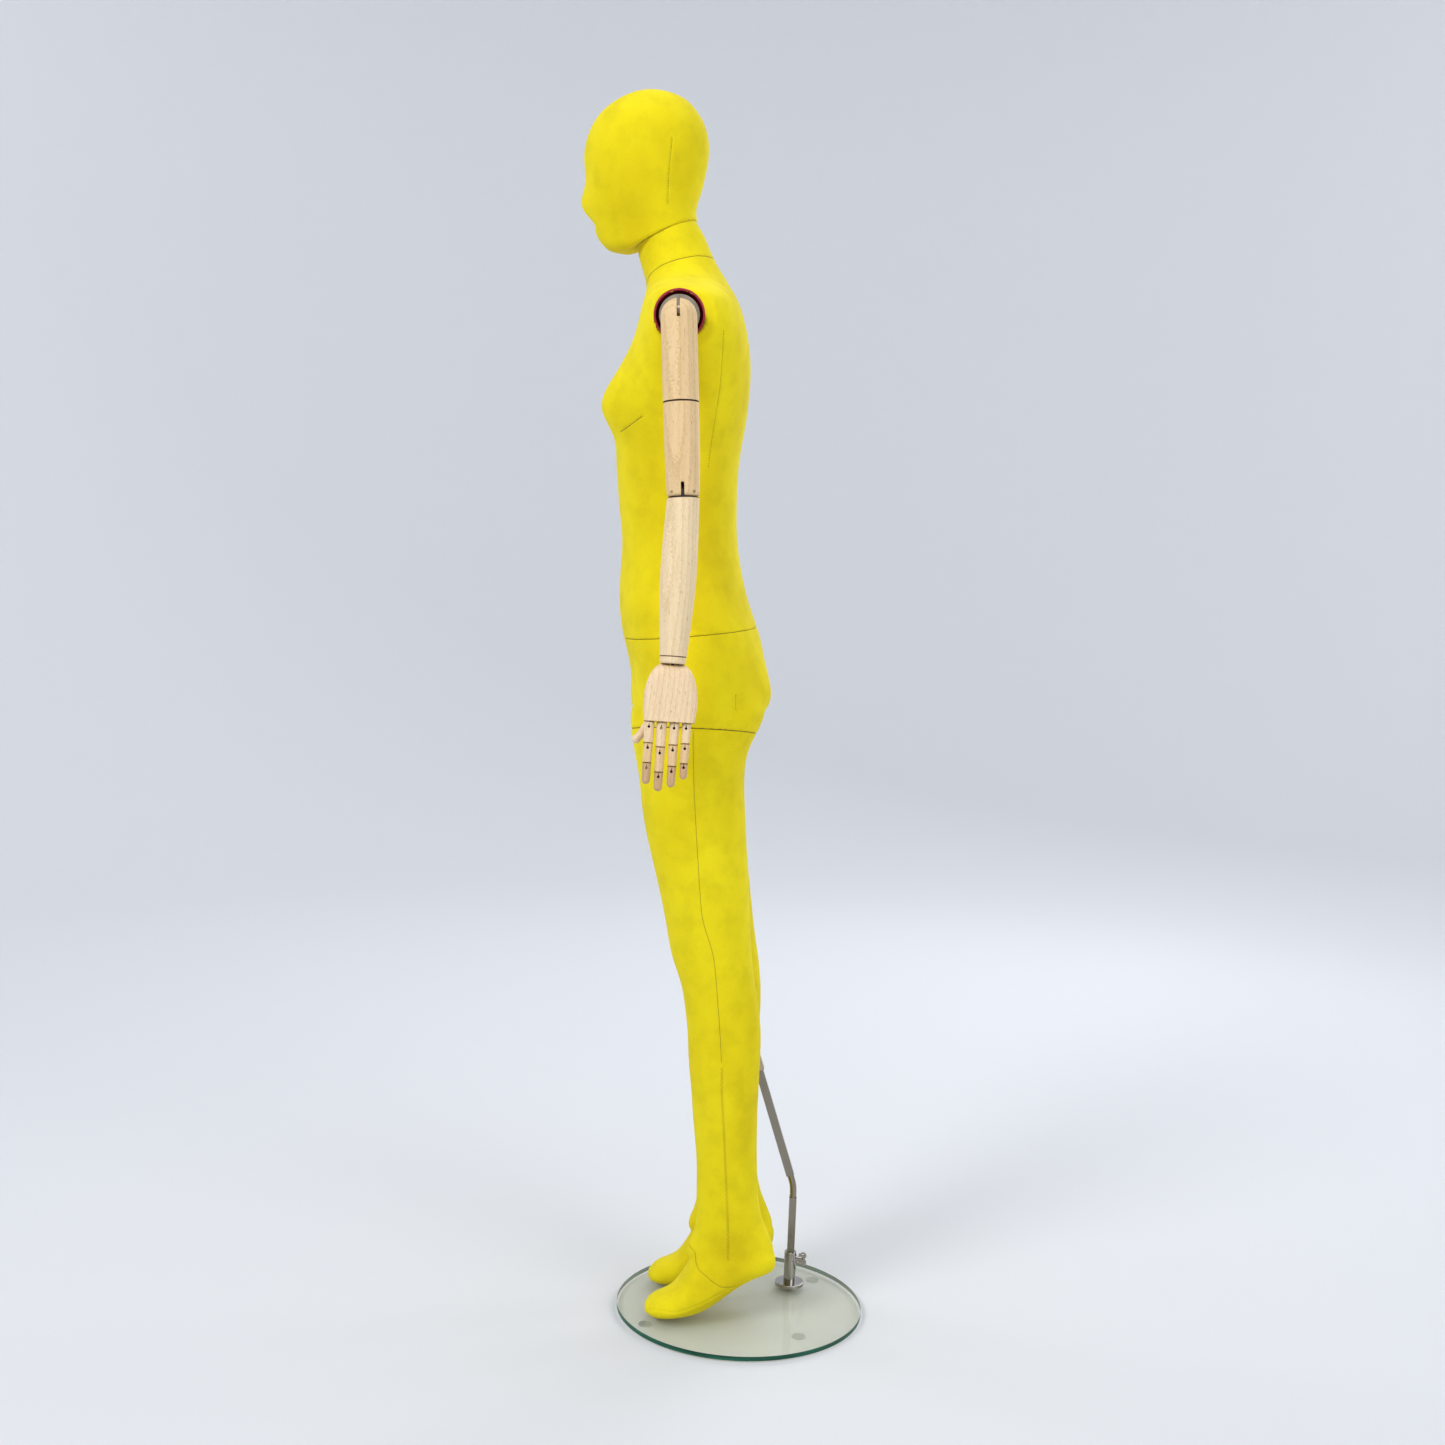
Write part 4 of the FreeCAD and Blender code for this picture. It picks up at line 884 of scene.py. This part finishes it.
# Dark ochre: the topstitching thread's colour, and painted seam shadow on the cords of closed seams.
THREAD_AND_SEAM_SHADE = plain_material("ochre_thread_and_seam_shade", (0.24, 0.175, 0.006), 0.8)
# The zigzag thread is darker than the cloth's yellow: partly its own colour, partly painted shade of the
# stitches' small bumps.
ZIGZAG_THREAD_AND_SHADE = plain_material("yellow_thread_and_shade", (0.44, 0.335, 0.008), 0.8)

# Seams of the figure's left side, each as the points that it passes
HEAD_SIDE = mm((70, -107, 1672), (74, -107, 1629), (68, -106, 1584))
HEAD_CROWN = mm((50, -207, 1690), (40, -170, 1724), (40, -140, 1726), (30, -113, 1741))
NECK_BASE = mm(
    (0, -146, 1479), (25, -135.6, 1487), (48, -113.7, 1502), (58, -81, 1518), (30, -46, 1526), (0, -38, 1528)
)
TORSO_SIDE = mm((150, -31, 1409.5), (130, -28, 1346), (120, -30.5, 1293.5), (110, -35, 1227))
BUST_DART = mm((95, -172.5, 1268), (112, -155, 1279), (130, -134, 1293))
FRONT_PANEL = mm((95, -130, 1228), (95, -126, 1190), (95, -125.5, 1149))
BUTTOCK = mm((150, 13, 925), (150, 13, 903))
THIGH_SIDE = mm(
    (160, -46, 872), (150, -42.6, 803), (142, -37, 737), (128, -27, 635), (120, -20.6, 600), (115, -5.5, 550),
    (112, 4, 470), (108, 11, 400),
)
SHIN_SIDE = mm((108, 12, 395), (105, 13, 361), (100, 18, 302), (92, 24, 226), (85, 30, 150), (80, 32, 103))
INSTEP = mm((60, -48, 122), (90, -28.6, 106.5), (96, 0, 84), (92, 22, 66.6), (80, 48, 62))
SOLE = mm(
    (70, -104, 24), (84, -96, 27), (92, -80.5, 32), (97, -40, 30), (92, -6, 40.5), (86, 38.5, 62), (72, 62, 70)
)
TOE = mm((84, -92, 34), (70, -77, 31.5), (52, -84, 40))

LEG_SEAMS = [("fine", THIGH_SIDE), ("zigzag", SHIN_SIDE), ("fine", INSTEP), ("crease", SOLE), ("crease", TOE)]

# Closing seams, each as its x, the y that it runs behind, and its lowest and highest z
LEG_AXIS = 0.068
HEAD_BACK = (0.0, -0.12, 1.0, 2.0)
TORSO_BACK = (0.0, -0.06, 0.5, 2.0)
HIP_BACK = (0.0, 0.0, 0.90, 1.2)
RIGHT_LEG_BACK = (-LEG_AXIS, 0.0, 0.09, 0.84)
LEFT_LEG_BACK = (LEG_AXIS, 0.0, 0.09, 1.0)

HEAD_SEAMS = both("dash", HEAD_SIDE) + both("crease", HEAD_CROWN)
TORSO_SEAMS = [("deep", ring_round(NECK_BASE))]
TORSO_SEAMS += both("dash", TORSO_SIDE) + both("deep", BUST_DART) + both("crease", FRONT_PANEL)
HIP_SEAMS = both("dash", BUTTOCK) + [(kind, mirrored(points)) for kind, points in LEG_SEAMS]
# Each cover's word, body, seams, closing seams and flat size in metres
COVERS = [
    ("head", "head", HEAD_SEAMS, [HEAD_BACK], (0.40, 0.40)),
    ("torso", "torso", TORSO_SEAMS, [TORSO_BACK], (0.92, 0.66)),
    ("hip", "hips", HIP_SEAMS, [RIGHT_LEG_BACK, HIP_BACK], (1.05, 1.02)),
    ("left_leg", "left_leg", LEG_SEAMS, [LEFT_LEG_BACK], (0.56, 0.98)),
]

for word, body, seams, back, (width, length) in COVERS:
    made, tracks, area = skin(word, body, seams, back)
    thread = sew(word + "_stitches_and_seam_shade", tracks, body, made)


# ---------------------------------------------------------------- CAD nodes' finishes


def islands(mesh):
    """Each polygon's connected solid, by the corners that share a place."""
    place = np.round(coordinates(mesh) / SAME_PLACE).astype(np.int64)
    _, corner = np.unique(place, axis=0, return_inverse=True)
    corner = corner.ravel()
    label = np.arange(corner.max() + 1)
    pairs = corner[edge_pairs(mesh)]
    while True:
        least = np.minimum(label[pairs[:, 0]], label[pairs[:, 1]])
        before = label.copy()
        np.minimum.at(label, pairs[:, 0], least)
        np.minimum.at(label, pairs[:, 1], least)
        label = label[label]
        if (label == before).all():
            break
    first = np.array([p.vertices[0] for p in mesh.polygons])
    return label[corner[first]]


def dress(obj, finish):
    """One finish all over a CAD node."""
    obj.data.materials.clear()
    obj.data.materials.append(finish)


def polygon_facts(mesh):
    """Each polygon's middle, normal and area."""
    count = len(mesh.polygons)
    middle, normal, area = np.empty(3 * count), np.empty(3 * count), np.empty(count)
    mesh.polygons.foreach_get("center", middle)
    mesh.polygons.foreach_get("normal", normal)
    mesh.polygons.foreach_get("area", area)
    return middle.reshape(-1, 3), normal.reshape(-1, 3), area


def end_planes(mesh, main):
    """The flat ends of a turned piece, as a point and a normal each."""
    middle, normal, area = (values[main] for values in polygon_facts(mesh))
    offset = (middle * normal).sum(1)
    key = np.round(np.column_stack([normal * END_TURN, offset / END_LEVEL])).astype(np.int64)
    _, group = np.unique(key, axis=0, return_inverse=True)
    group = group.ravel()
    size = np.bincount(group, weights=area)
    found = []
    for index in np.argsort(-size)[:MOST_ENDS]:
        if size[index] < SMALLEST_END:
            continue
        one = np.flatnonzero(group == index)[0]
        height = (middle - middle[one]) @ normal[one]
        if height.max() < END_SLACK and abs(normal[one][2]) > END_STEEPNESS:
            found.append((Vector(middle[one]), Vector(normal[one])))
    return found


def sunk(mesh, main, depth):
    """True for the main solid's polygons that lie deeper than its outline, as in a slot or a bore."""
    bm = bmesh.new()
    used = {v for p in np.flatnonzero(main) for v in mesh.polygons[p].vertices}
    for index in sorted(used):
        bm.verts.new(mesh.vertices[index].co)
    bmesh.ops.remove_doubles(bm, verts=bm.verts, dist=HULL_WELD)
    made = bmesh.ops.convex_hull(bm, input=bm.verts)["geom"]
    faces = [g for g in made if isinstance(g, bmesh.types.BMFace)]
    normals = np.array([f.normal for f in faces])
    offsets = np.array([f.verts[0].co.dot(f.normal) for f in faces])
    bm.free()
    middle, _, _ = polygon_facts(mesh)
    deep = np.zeros(len(middle), dtype=bool)
    for start in range(0, len(middle), HULL_BLOCK):
        block = slice(start, start + HULL_BLOCK)
        deep[block] = (offsets - middle[block] @ normals.T).min(1) > depth
    return deep & main


def dress_wood(obj, tint, seed):
    """The largest solid is beech, with painted shadow inside its slots; the pins and tongues are steel."""
    mesh = obj.data
    solid = islands(mesh)
    names, sizes = np.unique(solid, return_counts=True)
    main = solid == names[sizes.argmax()]
    index = np.where(main, 0, 1)
    # The flat ends, where painted shade marks each joint.
    planes = end_planes(mesh, main)
    middle = polygon_facts(mesh)[0][:, 2]
    # Faces sunk in slots and bores take the painted slot shadow.
    if "palm" in obj.name:
        level = (middle.min() + middle.max()) / 2
        index[sunk(mesh, main, PALM_HOLLOW) & (middle < level)] = 2
        planes = [plane for plane in planes if plane[0].z < level]
    elif "thumb" not in obj.name:
        index[sunk(mesh, main, SUNK_DEPTH)] = 2
    if "wrist_ring" in obj.name:
        planes = []
    mesh.materials.clear()
    for finish in (beech_material("beech_" + obj.name, tint, seed, planes), DARK_STEEL, SLOT_SHADOW):
        mesh.materials.append(finish)
    mesh.polygons.foreach_set("material_index", index.astype(np.int32))


CHROME = metal_material("chrome", (0.40, 0.38, 0.35), 0.10, 0.3)
NICKEL = metal_material("nickel_tube", (0.26, 0.235, 0.19), 0.2, 0.35)
STEEL = metal_material("zinc_steel", (0.52, 0.44, 0.34), 0.34, 0.3)
# Painted shadow: near black for faces deep in slots, keyholes and bores.
SLOT_SHADOW = plain_material("slot_shadow", (0.018, 0.012, 0.009), 1.0)
DARK_STEEL = metal_material("blackened_steel", (0.06, 0.055, 0.05), 0.45, 0.2)
LINING = mottled_material(
    "crimson_lining", (0.36, 0.014, 0.035), (0.22, 0.007, 0.02), (0.46, 0.02, 0.05), 700.0, 2.0, 0.8
)
# The shell shows only in the narrow gaps between covers; its dark olive brown is painted shade for those gap
# lines.
SHELL_GAP_SHADE = mottled_material(
    "moulded_shell", (0.11, 0.075, 0.022), (0.09, 0.060, 0.018), (0.13, 0.090, 0.028), 90.0, 3.0, 0.8
)
RUBBER = mottled_material(
    "clear_bumper", (0.42, 0.45, 0.44), (0.38, 0.41, 0.40), (0.47, 0.50, 0.49), 400.0, 2.0, 0.4
)
GLASS_FACE, GLASS_EDGE = glass_materials()

BEECH = (0.73, 0.52, 0.27)
PALE_BEECH = (0.79, 0.62, 0.38)
PALM_BEECH = (0.82, 0.62, 0.39)
FINGER_BEECH = (0.74, 0.52, 0.28)
TIP_BEECH = (0.56, 0.36, 0.19)
TINTS = [
    ("upper_arm", BEECH), ("elbow_section", BEECH), ("forearm", PALE_BEECH), ("wrist_ring", PALE_BEECH),
    ("palm", PALM_BEECH), ("proximal", PALM_BEECH), ("middle", FINGER_BEECH), ("distal", TIP_BEECH),
    ("thumb_base", PALM_BEECH), ("thumb_tip", PALM_BEECH),
]

sided = [n for n in sorted(nodes) if n.startswith(("left_", "right_"))]
wooden = [n for n in sided if "leg" not in n and "shoulder" not in n]
for number, name in enumerate(wooden):
    tint = next(colour for word, colour in TINTS if name.endswith(word))
    dress_wood(nodes[name], tint, SEED_STEP * number)

FINISHES = {
    "rod_lower_tube": NICKEL, "rod_bend": NICKEL, "rod_upper_tube": NICKEL, "rod_socket": CHROME,
    "wing_screw": CHROME, "socket_screw": STEEL, "calf_sleeve": STEEL, "hip_joint_pegs": STEEL,
    "neck_peg": STEEL, "left_shoulder_fitting": STEEL, "right_shoulder_fitting": STEEL, "shoulder_cups": LINING,
    "head_shell": SHELL_GAP_SHADE, "torso_shell": SHELL_GAP_SHADE, "hip_shell": SHELL_GAP_SHADE, "left_leg_shell": SHELL_GAP_SHADE,
    "base_pads": RUBBER,
}
for name, finish in FINISHES.items():
    dress(nodes[name], finish)

plate = nodes["glass_base"]
dress(plate, GLASS_FACE)
plate.data.materials.append(GLASS_EDGE)
for polygon in plate.data.polygons:
    polygon.material_index = int(abs(polygon.normal.z) < 0.5)


# ---------------------------------------------------------------- studio

FLOOR_FLAT = 3.2
FLOOR_RINGS = 8
COVE_RADIUS = 2.6
COVE_STEPS = 16
WALL_TOP = 4.4
COVE_SIDES = 96


def cove():
    """A round floor that curves up into a wall all round."""
    profile = [(FLOOR_FLAT * i / FLOOR_RINGS, 0.0) for i in range(1, FLOOR_RINGS + 1)]
    for i in range(1, COVE_STEPS + 1):
        angle = i / COVE_STEPS * math.pi / 2
        profile.append((FLOOR_FLAT + COVE_RADIUS * math.sin(angle), COVE_RADIUS * (1 - math.cos(angle))))
    profile.append((FLOOR_FLAT + COVE_RADIUS, WALL_TOP))
    bm = bmesh.new()
    turn = [2 * math.pi * i / COVE_SIDES for i in range(COVE_SIDES)]
    rings = []
    for radius, height in profile:
        rings.append([bm.verts.new((radius * math.cos(a), radius * math.sin(a), height)) for a in turn])
    middle = bm.verts.new((0, 0, 0))
    for i in range(COVE_SIDES):
        after = (i + 1) % COVE_SIDES
        bm.faces.new((middle, rings[0][i], rings[0][after]))
        for low, high in zip(rings, rings[1:]):
            bm.faces.new((low[i], high[i], high[after], low[after]))
    mesh = bpy.data.meshes.new("studio_cove")
    bm.to_mesh(mesh)
    bm.free()
    mesh.shade_smooth()
    mesh.materials.append(plain_material("pale_backdrop", (0.675, 0.69, 0.715), 0.8))
    made = bpy.data.objects.new("studio_cove", mesh)
    bpy.context.scene.collection.objects.link(made)
    return made


def lamp(name, place, aim, size, watts):
    """A round soft box at a place, turned to face its aim."""
    light = bpy.data.lights.new(name, "AREA")
    light.shape = "DISK"
    light.size = size
    light.energy = watts
    made = bpy.data.objects.new(name, light)
    made.location = place
    made.rotation_euler = (Vector(aim) - Vector(place)).to_track_quat("-Z", "Y").to_euler()
    bpy.context.scene.collection.objects.link(made)


cove()
MIDDLE = (0, 0, 0.9)
lamp("key", (2.5, -2.4, 2.9), MIDDLE, 1.4, 78)
lamp("fill", (2.6, 2.6, 1.8), MIDDLE, 2.4, 44)
lamp("top", (0.3, 0.2, 4.4), MIDDLE, 3.0, 33)
lamp("far_side", (-2.6, 1.4, 2.4), MIDDLE, 2.4, 34)
for side in (-1, 1):
    lamp("wall_wash", (-1.6, 3.4 * side, 3.6), (-6.0, 0.6 * side, 1.4), 2.4, 45)

world = bpy.data.worlds.new("studio")
bpy.context.scene.world = world
world.use_nodes = True
background = world.node_tree.nodes["Background"]
background.inputs["Color"].default_value = (0.86, 0.90, 1.0, 1)
background.inputs["Strength"].default_value = 0.50

# The camera looks at the figure's left side, a little down, and rolled a little
EYE = Vector((2.5519, -0.0068, 1.1268))
PITCH = math.radians(5.71)
ROLL = math.radians(2.28)

forward = Vector((-math.cos(PITCH), 0, -math.sin(PITCH)))
right = Vector((0, 1, 0))
up = right.cross(forward)
across = math.cos(ROLL) * right + math.sin(ROLL) * up
above = math.cos(ROLL) * up - math.sin(ROLL) * right
turn = Matrix((across, above, -forward)).transposed()
lens = bpy.data.cameras.new("camera")
lens.sensor_width = 36
lens.lens = 44.35
lens.clip_end = 50
lens.dof.use_dof = False
camera = bpy.data.objects.new("camera", lens)
camera.matrix_world = Matrix.Translation(EYE) @ turn.to_4x4()
bpy.context.scene.collection.objects.link(camera)
bpy.context.scene.camera = camera
bpy.context.scene.view_settings.view_transform = "Standard"
